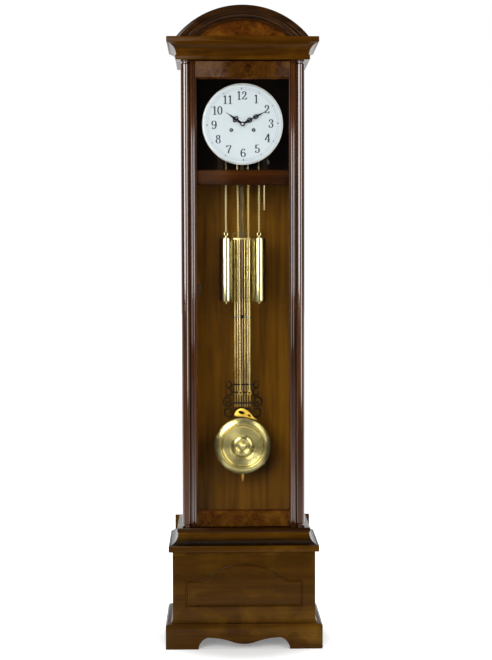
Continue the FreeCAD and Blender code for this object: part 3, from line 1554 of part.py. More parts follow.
def gong():
    """A wooden pad on the back panel, the iron block on it and the rod that hangs from the block."""
    rod_bottom = axis_z - size.gong_rod_drop
    rod_top = rod_bottom + size.gong_rod_length
    block_front = gong_y - 2 * size.gong_rod_radius
    block = box("iron_block", (size.gong_block_width, size.gong_block_depth, size.gong_block_rise),
                (size.gong_offset - size.gong_block_width / 2, block_front, rod_top))
    mount_front = block_front + size.gong_block_depth
    wood = box("gong_pad", (size.gong_mount_width, case_back - mount_front, size.gong_block_rise),
               (size.gong_offset - size.gong_mount_width / 2, mount_front, rod_top))
    rod = pin("gong_rod", size.gong_rod_radius, size.gong_rod_length,
              (size.gong_offset, gong_y, rod_bottom))
    keep("rod_gong", group("rod_gong_group", [wood, block, rod]))


# The pendulum

pivot_z = axis_z + size.pendulum_pivot_rise
pendulum_front = pendulum_y - size.leader_thickness / 2
pendulum_back = pendulum_y + size.leader_thickness / 2


def leader():
    """The flat strip that hangs from the spring and widens to a shield at the top of the lyre."""
    half = size.leader_width / 2
    flare = size.leader_flare_width / 2
    end = -size.lyre_top_drop
    start = -size.spring_gap
    outline = [
        corner(-half, start),
        corner(-half, end + size.leader_flare_rise),
        corner(-flare, end + size.leader_flare_rise / 2),
        corner(-half, end),
        corner(half, end),
        corner(flare, end + size.leader_flare_rise / 2),
        corner(half, end + size.leader_flare_rise),
        corner(half, start),
    ]
    strip = pad("pendulum_leader", "XZ_Plane", [outline], size.leader_thickness)
    place(strip, 0, pendulum_back, pivot_z)
    keep("pendulum_leader", strip)


def lyre_rods():
    """Seven thin rods side by side, held together by one flat clamp across their fronts."""
    radius = sheet_value("lyre_rod_radius")
    rise = sheet_value("lyre_bar_rise")
    half = sheet_value("clamp_bar_half_width")
    thickness = sheet_value("scroll_thickness")
    bottom = sheet_value("lyre_bottom_drop")
    length = bottom - sheet_value("lyre_top_drop") - rise
    corner_point = FreeCAD.Vector(-half, -radius - thickness, bottom - sheet_value("clamp_bar_drop"))
    shape = Part.makeBox(2 * half, thickness, rise, corner_point)
    for index in range(LYRE_ROD_COUNT):
        offset = (index - (LYRE_ROD_COUNT - 1) / 2) * sheet_value("lyre_rod_pitch")
        shape = shape.fuse(prism(radius, ROD_FACET_COUNT, length, offset))
    rods_y = pendulum_front + size.lyre_rod_radius + size.running_clearance
    keep("lyre_rods", shape_piece("lyre_rods", shape.removeSplitter(), 0, rods_y,
                                  pivot_z - size.lyre_bottom_drop))


def curved_band(across, up, radius, band, thickness, start, sweep):
    """A flat curved band in the local XY plane, in short straight runs round an arc."""
    points = []
    for side in (1, -1):
        for index in range(ARC_FACET_COUNT + 1):
            share = index / ARC_FACET_COUNT if side > 0 else 1 - index / ARC_FACET_COUNT
            turn = math.radians(start + sweep * share)
            reach = radius + side * band / 2
            points.append(FreeCAD.Vector(across + reach * math.cos(turn), up + reach * math.sin(turn), 0))
    return Part.Face(Part.makePolygon(points + [points[0]])).extrude(Z_AXIS * thickness)


# The scrolls on the right of the lyre, joined where they touch. Each has its centre beside and below
# the upper cross bar and its radius, as shares of the scroll reach, and the angles it starts at and sweeps.
FOOT_SCROLL_SHARES = (
    (0.767, 0.033, 0.183, 60, 230),
    (0.767, -0.383, 0.200, 80, 200),
    (0.742, -0.883, 0.292, -75, 165),
    (0.767, -1.025, 0.133, 0, 280),
    (0.733, -1.450, 0.250, -180, 270),
    (0.275, -1.467, 0.208, 0, 180),
)
# The scrolls beside the shield at the top, measured in the same way from the foot of the top bar.
HEAD_SCROLL_SHARES = (
    (0.360, 0.190, 0.170, -90, 250),
)
# The pierced crescent above the bob, from the foot of the low bar, with its two eyes.
CRESCENT_SHARES = (
    (-0.44, -0.60), (-0.33, -0.40), (-0.16, -0.27), (0.02, -0.26), (0.18, -0.33), (0.34, -0.46),
    (0.49, -0.60), (0.64, -0.78), (0.79, -0.87), (0.60, -0.835), (0.43, -0.785), (0.20, -0.735),
    (0.02, -0.70), (-0.20, -0.69), (-0.36, -0.67),
)
CRESCENT_EYE_SHARES = ((-0.06, -0.49, 0.09), (0.11, -0.55, 0.08), (0.37, -0.66, 0.07))


def mirrored_pair(shape):
    return [shape, shape.mirror(HEAD_POINT, X_AXIS)]


def lyre_frame():
    """The bars in front of the rods, the open scrollwork at the foot of the lyre, and the stem below."""
    rise = sheet_value("lyre_bar_rise")
    band = sheet_value("scroll_band")
    thickness = sheet_value("scroll_thickness")
    reach = sheet_value("scroll_reach")
    top = sheet_value("lyre_top_drop") + rise
    upper = sheet_value("cross_bar_drop")
    low = sheet_value("lyre_bottom_drop") - sheet_value("rod_tail")
    cross_half = sheet_value("cross_bar_half_width")
    parts = []
    for level, half in ((top, sheet_value("lyre_half_width")), (upper, cross_half),
                        (upper + sheet_value("cross_bar_gap"), cross_half),
                        (low, sheet_value("low_bar_half_width"))):
        parts.append(Part.makeBox(2 * half, rise, thickness, FreeCAD.Vector(-half, -level, 0)))
    for level, table in ((upper, FOOT_SCROLL_SHARES), (top, HEAD_SCROLL_SHARES)):
        for across, up, radius, start, sweep in table:
            scroll = curved_band(across * reach, up * reach - level, radius * reach, band, thickness,
                                 start, sweep)
            parts += mirrored_pair(scroll)
    points = [FreeCAD.Vector(across * reach, up * reach - low, 0) for across, up in CRESCENT_SHARES]
    crescent = Part.Face(Part.makePolygon(points + [points[0]])).extrude(Z_AXIS * thickness)
    for across, up, radius in CRESCENT_EYE_SHARES:
        crescent = crescent.cut(prism(radius * reach, ROD_FACET_COUNT, thickness, across * reach,
                                      up * reach - low))
    stem_half = sheet_value("stem_width") / 2
    stem_thickness = sheet_value("stem_thickness")
    stem_start = sheet_value("lyre_bottom_drop") + sheet_value("stem_gap")
    stem_end = sheet_value("bob_drop") + sheet_value("bob_radius") - sheet_value("screw_hidden_length")
    stem = Part.makeBox(2 * stem_half, stem_end - stem_start, stem_thickness,
                        FreeCAD.Vector(-stem_half, -stem_end, -stem_thickness))
    screw = Part.makeCylinder(sheet_value("screw_radius"), sheet_value("screw_length"),
                              FreeCAD.Vector(0, -stem_end, -stem_thickness / 2), -Y_AXIS)
    shape = parts[0].multiFuse(parts[1:] + [crescent, stem, screw])
    frame = shape_piece("lyre_frame", shape.removeSplitter(), 0, pendulum_front, pivot_z, FACE_FORWARD)
    keep("lyre_frame", frame)


def bob():
    """A turned brass disc with rings on its face and a guide behind that slides on the stem."""
    radius = size.bob_radius
    dish = radius - size.bob_dish_width
    bead = dish - size.bob_bead_width
    flat = bead - size.bob_flat_width
    face = size.bob_thickness
    profile = [
        corner(0, 0),
        corner(radius, 0),
        corner(radius, face - size.bob_dish_depth),
        corner(dish, face - size.bob_dish_depth),
        corner(dish, face),
        corner(bead, face),
        corner(bead, face - size.bob_dish_depth),
        corner(size.bob_boss_radius, face - size.bob_dish_depth),
        corner(size.bob_boss_radius, face + size.bob_boss_rise - size.bob_dish_depth),
        corner(size.bob_dome_radius, face + size.bob_boss_rise - size.bob_dish_depth),
        corner(0, face + size.bob_dome_rise),
    ]
    disc_body = turned("bob_disc", profile)
    bob_back = pendulum_front - size.bob_back_gap
    stem_middle = pendulum_front + size.stem_thickness / 2
    place(disc_body, 0, bob_back, pivot_z - size.bob_drop, turn=FACE_FORWARD)
    inner = size.stem_width / 2 + size.guide_clearance
    depth = size.bob_back_gap + size.stem_thickness + size.guide_clearance + size.guide_wall
    outline = [
        corner(-inner - size.guide_wall, 0),
        corner(inner + size.guide_wall, 0),
        corner(inner + size.guide_wall, depth),
        corner(-inner - size.guide_wall, depth),
    ]
    window = [
        corner(-inner, 0),
        corner(inner, 0),
        corner(inner, depth - size.guide_wall),
        corner(-inner, depth - size.guide_wall),
    ]
    bridge = pad("bob_guide", "XY_Plane", [outline], size.guide_rise)
    pocket(bridge, "XY_Plane", [window], size.guide_rise, reverse=True)
    place(bridge, 0, bob_back, pivot_z - size.bob_drop - size.guide_rise / 2)
    keep("bob", fuse("bob_fused", [disc_body, bridge]))

    nut_top = pivot_z - size.bob_drop - size.bob_radius - size.nut_gap
    nut = turned("rating_nut", [
        corner(size.screw_radius + size.running_clearance, 0),
        corner(size.nut_radius, 0),
        corner(size.nut_radius, size.nut_rise),
        corner(size.screw_radius + size.running_clearance, size.nut_rise),
    ])
    place(nut, 0, stem_middle, nut_top - size.nut_rise)
    keep("rating_nut", nut)


# The chains and the weights

sides = (("time", 1), ("strike", -1))


def chain_shape(length, lean):
    """A run of chain as a bar of crossed section, which is as wide as its alternating links."""
    half = sheet_value("chain_width") / 2
    wire = sheet_value("chain_wire") / 2
    quarter = [(half, -wire), (half, wire), (wire, wire), (wire, half)]
    points = []
    for index in range(4):
        turn = math.pi / 2 * index
        for across, along in quarter:
            points.append(FreeCAD.Vector(across * math.cos(turn) - along * math.sin(turn),
                                         across * math.sin(turn) + along * math.cos(turn), 0))
    unique = []
    for spot in points:
        if all((spot - other).Length > wire / 2 for other in unique):
            unique.append(spot)
    face = Part.Face(Part.makePolygon(unique + [unique[0]]))
    return face.extrude(FreeCAD.Vector(lean, 0, -length))


def weight_profile():
    """A plain cylinder with stepped caps, a neck above and a small ball below."""
    top = -2 * size.hook_radius - 2 * size.hook_wire_radius - size.weight_neck_rise
    low = top - size.weight_length
    return [
        corner(0, top + size.weight_neck_rise),
        corner(size.weight_neck_radius, top + size.weight_neck_rise),
        corner(size.weight_neck_radius, top),
        corner(size.weight_cap_radius, top),
        corner(size.weight_cap_radius, top - size.weight_cap_rise),
        corner(size.weight_radius, top - size.weight_cap_rise),
        corner(size.weight_radius, low + size.weight_cap_rise),
        corner(size.weight_cap_radius, low + size.weight_cap_rise),
        corner(size.weight_cap_radius, low),
        corner(size.weight_neck_radius, low),
        corner(size.weight_neck_radius, low - 2 * size.weight_ball_radius),
        corner(0, low - 2 * size.weight_ball_radius),
    ]


def ring_solid(radius, wire):
    """A flat-sided ring that hangs in the plane of the chain's side view."""
    ring = prism(radius + wire, SMALL_FACET_COUNT, 2 * wire, low=-wire)
    return ring.cut(prism(radius - wire, SMALL_FACET_COUNT, 2 * wire, low=-wire))


def weights_and_chains():
    weight_run = size.weight_chain_length
    free_run = size.free_chain_length
    hook = sheet_value("hook_radius"), sheet_value("hook_wire_radius")
    end_ring = sheet_value("chain_end_ring_radius"), sheet_value("chain_end_ring_wire")
    for name, side in sides:
        weight_x = side * (size.winding_offset + size.chain_radius)
        free_x = side * (size.winding_offset - size.chain_radius)
        lean = size.time_chain_lean if name == "time" else size.strike_chain_lean
        run = chain_shape(weight_run.value, 0)
        keep(name + "_weight_chain", shape_piece(name + "_weight_chain", run, weight_x, chain_y, winding_z))
        run = chain_shape(free_run.value, lean.value)
        keep(name + "_free_chain", shape_piece(name + "_free_chain", run, free_x, chain_y, winding_z))
        weight = turned(name + "_weight_body", weight_profile())
        hook_top = winding_z - weight_run
        place(weight, weight_x, chain_y, hook_top)
        ring = shape_piece(name + "_weight_hook", ring_solid(*hook), weight_x, chain_y,
                           hook_top - size.hook_radius - size.hook_wire_radius, FACE_FORWARD)
        keep(name + "_weight", group(name + "_weight_group", [weight, ring]))
        end = shape_piece(name + "_chain_end", ring_solid(*end_ring), free_x + lean, chain_y,
                          winding_z - free_run - size.chain_end_ring_radius - size.chain_end_ring_wire,
                          FACE_FORWARD)
        keep(name + "_chain_end", end)


def build():
    case()
    door()
    door_fittings()
    seat()
    dial()
    hands()
    movement_frame()
    train()
    motion_work()
    escapement()
    suspension()
    strike_work()
    hammer()
    gong()
    leader()
    lyre_rods()
    lyre_frame()
    bob()
    weights_and_chains()


def check_and_write():
    doc.recompute()
    failed = [thing.Name for thing in doc.Objects
              if "Invalid" in thing.State or "Error" in thing.State]
    if failed:
        raise RuntimeError("these objects did not compute: %s" % failed)
    os.makedirs("parts", exist_ok=True)
    for label, piece in pieces.items():
        shape = piece.Shape
        if shape.isNull() or not shape.isValid():
            raise RuntimeError("%s has no valid shape" % label)
        shape.exportStep("parts/%s.step" % label)
        print("%-22s solids %d volume %.0f" % (label, len(shape.Solids), shape.Volume))


build()
check_and_write()
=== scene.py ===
# %% [markdown]
# # A longcase clock with a glazed door
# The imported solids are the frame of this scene: they say where every board, wheel and rod of the clock is.
# Plain flat boards that show little stay as they are and only get a finish. Everything that the eye reads as
# a curve, a moulding or an ornament is made again here as a finer surface, in the very place of its solid.

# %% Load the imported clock
import math

import bmesh
import bpy
import numpy as np
from mathutils import Matrix, Vector
from mathutils.geometry import tessellate_polygon


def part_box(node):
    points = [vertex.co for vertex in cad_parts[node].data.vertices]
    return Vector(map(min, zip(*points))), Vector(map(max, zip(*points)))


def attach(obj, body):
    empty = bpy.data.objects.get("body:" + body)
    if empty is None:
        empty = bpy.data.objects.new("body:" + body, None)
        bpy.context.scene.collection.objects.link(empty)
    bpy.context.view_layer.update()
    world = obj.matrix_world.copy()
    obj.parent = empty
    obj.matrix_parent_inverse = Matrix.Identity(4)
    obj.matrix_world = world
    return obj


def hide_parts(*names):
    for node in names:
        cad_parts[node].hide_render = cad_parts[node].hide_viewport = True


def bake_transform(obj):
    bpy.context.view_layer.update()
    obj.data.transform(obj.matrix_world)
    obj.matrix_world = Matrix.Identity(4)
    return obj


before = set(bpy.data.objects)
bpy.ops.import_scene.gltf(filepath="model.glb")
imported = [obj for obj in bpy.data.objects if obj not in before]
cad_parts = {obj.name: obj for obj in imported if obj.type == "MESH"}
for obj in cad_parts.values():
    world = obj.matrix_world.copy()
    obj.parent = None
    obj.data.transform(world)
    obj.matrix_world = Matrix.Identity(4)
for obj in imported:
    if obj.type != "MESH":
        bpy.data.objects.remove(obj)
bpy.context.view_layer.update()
MM = 0.001


def span(node):
    """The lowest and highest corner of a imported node, in millimetres."""
    low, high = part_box(node)
    return np.array(low) / MM, np.array(high) / MM


# %% [markdown]
# ## Finishes
# The wood of the real clock is a light timber stained dark: the stain sinks in unevenly, so the colour is
# blotchy, with amber where it took less, and fine dark pores run along the grain. One shader group holds that
# behaviour, because all the boards, mouldings and columns use it with their own colours and grain direction.
# It reads the clock's own coordinates, stretches the noise along the grain and mixes three colours by it.

# %% Small tools for shader nodes
def feed(tree, socket, value):
    """Links a socket to another one, or sets its value."""
    if isinstance(value, bpy.types.NodeSocket):
        tree.links.new(value, socket)
    else:
        socket.default_value = value


def add_node(tree, kind, inputs=None, **settings):
    """One shader node. An input given as a socket is linked, any other value is set."""
    node = tree.nodes.new(kind)
    for name, value in settings.items():
        setattr(node, name, value)
    for name, value in (inputs or {}).items():
        feed(tree, node.inputs[name], value)
    return node


def new_group(name, inputs, outputs):
    """An empty shader group with named sockets, and its input and output nodes."""
    group = bpy.data.node_groups.new(name, "ShaderNodeTree")
    for label, kind, value in inputs:
        socket = group.interface.new_socket(name=label, in_out="INPUT", socket_type="NodeSocket" + kind)
        if value is not None:
            socket.default_value = value
    for label, kind in outputs:
        group.interface.new_socket(name=label, in_out="OUTPUT", socket_type="NodeSocket" + kind)
    return group, group.nodes.new("NodeGroupInput"), group.nodes.new("NodeGroupOutput")


def noise(tree, vector, scale, detail=3.0, roughness=0.55, distortion=0.0):
    """The value of a noise at a point."""
    return add_node(tree, "ShaderNodeTexNoise", {
        "Vector": vector, "Scale": scale, "Detail": detail, "Roughness": roughness,
        "Distortion": distortion}).outputs["Fac"]


def ramp(tree, value, low, high, start=0.0, end=1.0):
    """Stretches a value so that it runs from start to end between low and high."""
    return add_node(tree, "ShaderNodeMapRange", {
        "Value": value, "From Min": low, "From Max": high, "To Min": start, "To Max": end},
        interpolation_type="SMOOTHSTEP").outputs["Result"]


def blend_colour(tree, factor, first, second):
    """A colour between two, by a factor."""
    mix = tree.nodes.new("ShaderNodeMix")
    mix.data_type = "RGBA"
    for socket, value in ((mix.inputs["Factor"], factor), (mix.inputs[6], first), (mix.inputs[7], second)):
        feed(tree, socket, value)
    return mix.outputs[2]


def multiply(tree, first, second, operation="MULTIPLY"):
    """The product of two values, or another operation on them."""
    node = tree.nodes.new("ShaderNodeMath")
    node.operation = operation
    for socket, value in zip(node.inputs, (first, second)):
        feed(tree, socket, value)
    return node.outputs[0]


# %% The group for stained wood
PORE_DARKENS, PORE_DARK = 0.75, (0.004, 0.002, 0.001, 1)


def make_grain_group():
    """Three colours mixed along stretched noise, with dark pores on top."""
    group, given, out = new_group(
        "stained_grain",
        [("Point", "Vector", None), ("Stretch", "Vector", (1.0, 1.0, 0.06)),
         ("Deep", "Color", (0.02, 0.01, 0.005, 1)), ("Warm", "Color", (0.06, 0.03, 0.01, 1)),
         ("Amber", "Color", (0.15, 0.07, 0.02, 1)), ("Blotch", "Float", 0.5), ("Pores", "Float", 0.5),
         ("Gloss", "Float", 0.3)],
        [("Color", "Color"), ("Roughness", "Float"), ("Height", "Float")])
    along = add_node(group, "ShaderNodeVectorMath", {0: given.outputs["Point"], 1: given.outputs["Stretch"]},
                     operation="MULTIPLY").outputs[0]
    streaks = noise(group, along, 34.0, 5.0, 0.6, 0.9)
    figure = noise(group, along, 9.0, 3.0, 0.5, 2.2)
    patches = noise(group, given.outputs["Point"], 7.0, 3.0, 0.6, 0.4)
    pores = noise(group, along, 520.0, 2.0, 0.5)
    body = blend_colour(group, ramp(group, streaks, 0.32, 0.68), given.outputs["Deep"], given.outputs["Warm"])
    light = multiply(group, ramp(group, patches, 0.42, 0.72), ramp(group, figure, 0.35, 0.65))
    body = blend_colour(group, multiply(group, light, given.outputs["Blotch"]), body, given.outputs["Amber"])
    pits = multiply(group, ramp(group, pores, 0.56, 0.70), given.outputs["Pores"])
    dark = blend_colour(group, PORE_DARKENS, body, PORE_DARK)
    body = blend_colour(group, pits, body, dark)
    group.links.new(body, out.inputs["Color"])
    rough = multiply(group, given.outputs["Gloss"], ramp(group, streaks, 0.2, 0.8, 0.85, 1.2))
    group.links.new(rough, out.inputs["Roughness"])
    height = multiply(group, ramp(group, streaks, 0.2, 0.8, 0.0, 0.4), pits, "SUBTRACT")
    group.links.new(height, out.inputs["Height"])
    return group


GRAIN = make_grain_group()
print("stained_grain has", len(GRAIN.nodes), "nodes")


# %% [markdown]
# A finish is a material with one main shader. The first helper below makes what all of them share, the
# shader and the coordinates, and sets the constants straight onto the shader's sockets. The second helper
# adds fine relief.

# %% The shared part of every finish
BUMP_DEPTH = 0.0003


def new_finish(name, slot, **constants):
    """A material with one Principled shader whose named sockets are set, and its coordinates."""
    material = bpy.data.materials.new(name)
    material.use_nodes = True
    tree = material.node_tree
    shader = tree.nodes["Principled BSDF"]
    for label, value in constants.items():
        shader.inputs[label.replace("_", " ")].default_value = value
    return material, tree, shader, tree.nodes.new("ShaderNodeTexCoord").outputs["Object"]


def add_bump(tree, shader, height, strength, distance):
    """Fine relief on a shader."""
    bump = add_node(tree, "ShaderNodeBump", {"Height": height, "Strength": strength, "Distance": distance})
    tree.links.new(bump.outputs["Normal"], shader.inputs["Normal"])


UPRIGHT, LEVEL = (1.0, 1.0, 0.05), (0.05, 1.0, 1.0)


def stained_wood(name, grain_way, stain, slot="walnut", blotch=0.5, pores=0.5, gloss=0.15, coat=0.02,
                 relief=0.12, coat_bend=1.5, coat_blur=0.10, sheen=0.05):
    """Stained timber. The stain is three colours: the deepest, the usual and the one that took least."""
    material, tree, shader, point = new_finish(name, slot, Coat_Weight=coat, Coat_Roughness=coat_blur,
                                               Coat_IOR=coat_bend, Specular_IOR_Level=sheen)
    grain = add_node(tree, "ShaderNodeGroup", node_tree=GRAIN)
    tree.links.new(point, grain.inputs["Point"])
    for label, colour in zip(("Deep", "Warm", "Amber"), stain):
        grain.inputs[label].default_value = (*colour, 1)
    for label, value in (("Stretch", grain_way), ("Blotch", blotch), ("Pores", pores), ("Gloss", gloss)):
        grain.inputs[label].default_value = value
    tree.links.new(grain.outputs["Color"], shader.inputs["Base Color"])
    tree.links.new(grain.outputs["Roughness"], shader.inputs["Roughness"])
    add_bump(tree, shader, grain.outputs["Height"], relief, BUMP_DEPTH)
    return material


# %% Walnut stains for boards, mouldings and columns
RED_STAIN = ((0.030, 0.0075, 0.0012), (0.080, 0.0230, 0.0035), (0.150, 0.0500, 0.0080))
WALNUT_UP = stained_wood(
    "walnut_upright", UPRIGHT, ((0.020, 0.0075, 0.0008), (0.060, 0.0250, 0.0020), (0.185, 0.0840, 0.0050)),
    blotch=0.35, coat=0.05, sheen=0.12)
WALNUT_LEVEL = stained_wood(
    "walnut_level", LEVEL, ((0.036, 0.0140, 0.0012), (0.055, 0.0225, 0.0018), (0.185, 0.0840, 0.0045)),
    blotch=0.42, sheen=0.04)
WALNUT_LIGHT = stained_wood(
    "walnut_light", LEVEL, ((0.034, 0.0120, 0.0008), (0.076, 0.0275, 0.0015), (0.140, 0.0560, 0.0025)))
WAIST_COVE = stained_wood(
    "walnut_waist_cove", LEVEL, ((0.036, 0.0140, 0.0010), (0.080, 0.0310, 0.0018), (0.150, 0.0640, 0.0030)))
DARK_LEVEL = stained_wood(
    "walnut_dark_slab", LEVEL, ((0.016, 0.0050, 0.0005), (0.028, 0.0095, 0.0007), (0.060, 0.0210, 0.0012)),
    blotch=0.4, coat=0.05)
RED_UP = stained_wood(
    "walnut_red", UPRIGHT, RED_STAIN, blotch=0.3, pores=0.4, coat=1.0, relief=0.02, coat_bend=1.9,
    coat_blur=0.09, sheen=0.12)
RED_BEAD = stained_wood(
    "walnut_red_bead", UPRIGHT, RED_STAIN, blotch=0.3, pores=0.4, coat=0.10, sheen=0.12)
RED_LEVEL = stained_wood(
    "walnut_red_level", LEVEL, ((0.016, 0.0040, 0.0005), (0.042, 0.0120, 0.0012), (0.075, 0.0240, 0.0025)),
    blotch=0.3, pores=0.4, coat=0.0, sheen=0.02)
ARCH_WOOD = stained_wood(
    "walnut_arch", LEVEL, ((0.012, 0.0035, 0.0006), (0.042, 0.0145, 0.0020), (0.075, 0.0280, 0.0035)),
    blotch=0.4, pores=0.4, coat=0.5, relief=0.03, coat_blur=0.07)
PANEL = stained_wood(
    "walnut_back", UPRIGHT, ((0.070, 0.0270, 0.0012), (0.140, 0.0560, 0.0020), (0.210, 0.0900, 0.0028)),
    blotch=0.3, pores=0.25, gloss=0.4, coat=0.0, sheen=0.02)
PLAIN = stained_wood(
    "dark_beech", LEVEL, ((0.006, 0.0030, 0.0010), (0.012, 0.0060, 0.0020), (0.020, 0.0110, 0.0040)),
    slot="plain_wood", blotch=0.4, pores=0.4, gloss=0.5, coat=0.0, sheen=0.02)


# %% Painted shade in the hood and the waist cove
PAINTED_SHADE_COLOUR = (0.002, 0.001, 0.0005, 1)
HOOD_LOW, HOOD_HIGH, HOOD_SHADE, FACE_SKIN = 1.470, 1.520, 0.94, (0.002, 0.001)
COVE_DARK_RISE, COVE_DARK_FOOT, COVE_SHADE = 0.036, 0.004, 0.88


def shade_between(material, start, end, shade, only=None):
    """Painted shade in a hollow: the colour runs to nearly black between two heights of the clock."""
    tree = material.node_tree
    shader = tree.nodes["Principled BSDF"]
    stained = shader.inputs["Base Color"].links[0].from_socket
    point = tree.nodes["Texture Coordinate"].outputs["Object"]
    place = add_node(tree, "ShaderNodeSeparateXYZ", {"Vector": point})
    depth = multiply(tree, ramp(tree, place.outputs["Z"], start, end), shade)
    if only is not None:
        depth = multiply(tree, depth, ramp(tree, place.outputs["Y"], *only))
    tree.links.new(blend_colour(tree, depth, stained, PAINTED_SHADE_COLOUR), shader.inputs["Base Color"])


# Painted shade on the front face of the back panel: nearly black above the seat rail, behind the dial.
inner_face = span("back_panel")[0][1] * MM
shade_between(PANEL, HOOD_LOW, HOOD_HIGH, HOOD_SHADE, [inner_face + skin for skin in FACE_SKIN])
# Painted shade in the lower part of the waist cove, darker towards its foot.
cove_foot = span("waist_cove")[0][2] * MM
shade_between(WAIST_COVE, cove_foot + COVE_DARK_RISE, cove_foot + COVE_DARK_FOOT, COVE_SHADE)


# %% [markdown]
# ## Burl
# The rails of the door and the panel under the arch are veneered with burl: the grain has no direction, it
# swirls round small dark eyes. Noise bent by another noise gives the swirls, and the cells of a Voronoi
# pattern give the eyes.

# %% The burl veneer
EYE_DARK = (0.012, 0.004, 0.002, 1)


def burl_veneer(name, *stain):
    """Veneer without a grain direction. The stain is its deepest, its usual and its brightest colour."""
    deep, warm, bright = ((*colour, 1) for colour in stain)
    material, tree, shader, point = new_finish(name, "burl", Coat_Weight=0.0, Coat_Roughness=0.10,
                                               Specular_IOR_Level=0.05)
    bend = add_node(tree, "ShaderNodeTexNoise", {"Vector": point, "Scale": 22.0, "Detail": 3.0})
    moved = add_node(tree, "ShaderNodeVectorMath", {0: bend.outputs["Color"], "Scale": 0.09},
                     operation="SCALE").outputs[0]
    swirled = add_node(tree, "ShaderNodeVectorMath", {0: point, 1: moved}, operation="ADD").outputs[0]
    curls = noise(tree, swirled, 48.0, 6.0, 0.68, 2.0)
    clouds = noise(tree, point, 16.0, 3.0, 0.6, 1.0)
    cells = add_node(tree, "ShaderNodeTexVoronoi", {"Vector": swirled, "Scale": 150.0}).outputs["Distance"]
    eyes = multiply(tree, ramp(tree, cells, 0.30, 0.12), ramp(tree, clouds, 0.45, 0.62))
    colour = blend_colour(tree, ramp(tree, curls, 0.34, 0.66), deep, warm)
    colour = blend_colour(tree, multiply(tree, ramp(tree, clouds, 0.40, 0.70), 0.7), colour, bright)
    colour = blend_colour(tree, multiply(tree, eyes, 0.8), colour, EYE_DARK)
    tree.links.new(colour, shader.inputs["Base Color"])
    tree.links.new(ramp(tree, curls, 0.2, 0.8, 0.13, 0.19), shader.inputs["Roughness"])
    add_bump(tree, shader, curls, 0.12, BUMP_DEPTH)
    return material


BURL = burl_veneer("burl_rail", (0.020, 0.006, 0.0008), (0.066, 0.022, 0.0022), (0.130, 0.050, 0.0050))
BURL_BRIGHT = burl_veneer("burl_arch", (0.034, 0.0085, 0.0010), (0.115, 0.033, 0.0026),
                          (0.200, 0.070, 0.0060))


# %% [markdown]
# ## Metals, dial and glass
# Brass parts are turned, so the finest marks run in rings: round the axis that points at the viewer, or level
# round an upright one. A second shared group makes them from noise in one direction only. The dial is silk
# white enamel. The glass is clear and lets the studio light through to the pendulum, so for shadow rays it is
# simply open.

# %% The group for tool marks
def make_marks_group():
    """Noise that depends on one length only: the distance from an axis, or the height along it."""
    group, given, out = new_group(
        "tool_marks",
        [("Point", "Vector", None), ("Round", "Float", 1.0), ("Fineness", "Float", 900.0)],
        [("Height", "Float"), ("Streak", "Float")])
    split = add_node(group, "ShaderNodeSeparateXYZ", {"Vector": given.outputs["Point"]})
    squares = [multiply(group, split.outputs[axis], split.outputs[axis]) for axis in ("X", "Z")]
    radius = multiply(group, multiply(group, squares[0], squares[1], "ADD"), 0.5, "POWER")
    rest = multiply(group, 1.0, given.outputs["Round"], "SUBTRACT")
    place = multiply(group, multiply(group, radius, given.outputs["Round"]),
                     multiply(group, split.outputs["Z"], rest), "ADD")
    line = add_node(group, "ShaderNodeCombineXYZ", {"X": multiply(group, place, given.outputs["Fineness"])})
    marks = noise(group, line.outputs[0], 1.0, 2.0, 0.6)
    wide = noise(group, given.outputs["Point"], 24.0, 2.0, 0.5)
    group.links.new(marks, out.inputs["Height"])
    group.links.new(multiply(group, marks, wide), out.inputs["Streak"])
    return group


MARKS = make_marks_group()


def middle_of(node):
    """The axis of a turned node that points at the viewer, in metres."""
    low, high = span(node)
    return tuple((low + high) / 2 * MM * (1, 0, 1))


def marked_metal(name, colour, shade, rough, slot="brass", turned_about=None, fineness=900.0, strength=0.05,
                 stretch=0.0):
    """Metal with tool marks, coloured between two close tones, its gloss stretched away from the axis."""
    material, tree, shader, point = new_finish(name, slot, Metallic=1.0, Anisotropic=stretch)
    moved = add_node(tree, "ShaderNodeMapping", {"Vector": point})
    if turned_about is not None:
        moved.inputs["Location"].default_value = tuple(-value for value in turned_about)
    if stretch:
        flat = add_node(tree, "ShaderNodeVectorMath", {0: moved.outputs[0], 1: (1.0, 0.0, 1.0)},
                        operation="MULTIPLY")
        outward = add_node(tree, "ShaderNodeVectorMath", {0: flat.outputs[0]}, operation="NORMALIZE")
        turned = add_node(tree, "ShaderNodeVectorTransform", {"Vector": outward.outputs[0]},
                          vector_type="VECTOR", convert_from="OBJECT", convert_to="WORLD")
        tree.links.new(turned.outputs[0], shader.inputs["Tangent"])
    marks = add_node(tree, "ShaderNodeGroup", node_tree=MARKS)
    tree.links.new(moved.outputs[0], marks.inputs["Point"])
    marks.inputs["Round"].default_value = 0.0 if turned_about is None else 1.0
    marks.inputs["Fineness"].default_value = fineness
    streak = ramp(tree, marks.outputs["Streak"], 0.12, 0.42)
    tree.links.new(blend_colour(tree, streak, (*shade, 1), (*colour, 1)), shader.inputs["Base Color"])
    tree.links.new(ramp(tree, marks.outputs["Streak"], 0.1, 0.45, rough * 1.12, rough * 0.92),
                   shader.inputs["Roughness"])
    add_bump(tree, shader, marks.outputs["Height"], strength, BUMP_DEPTH)
    return material


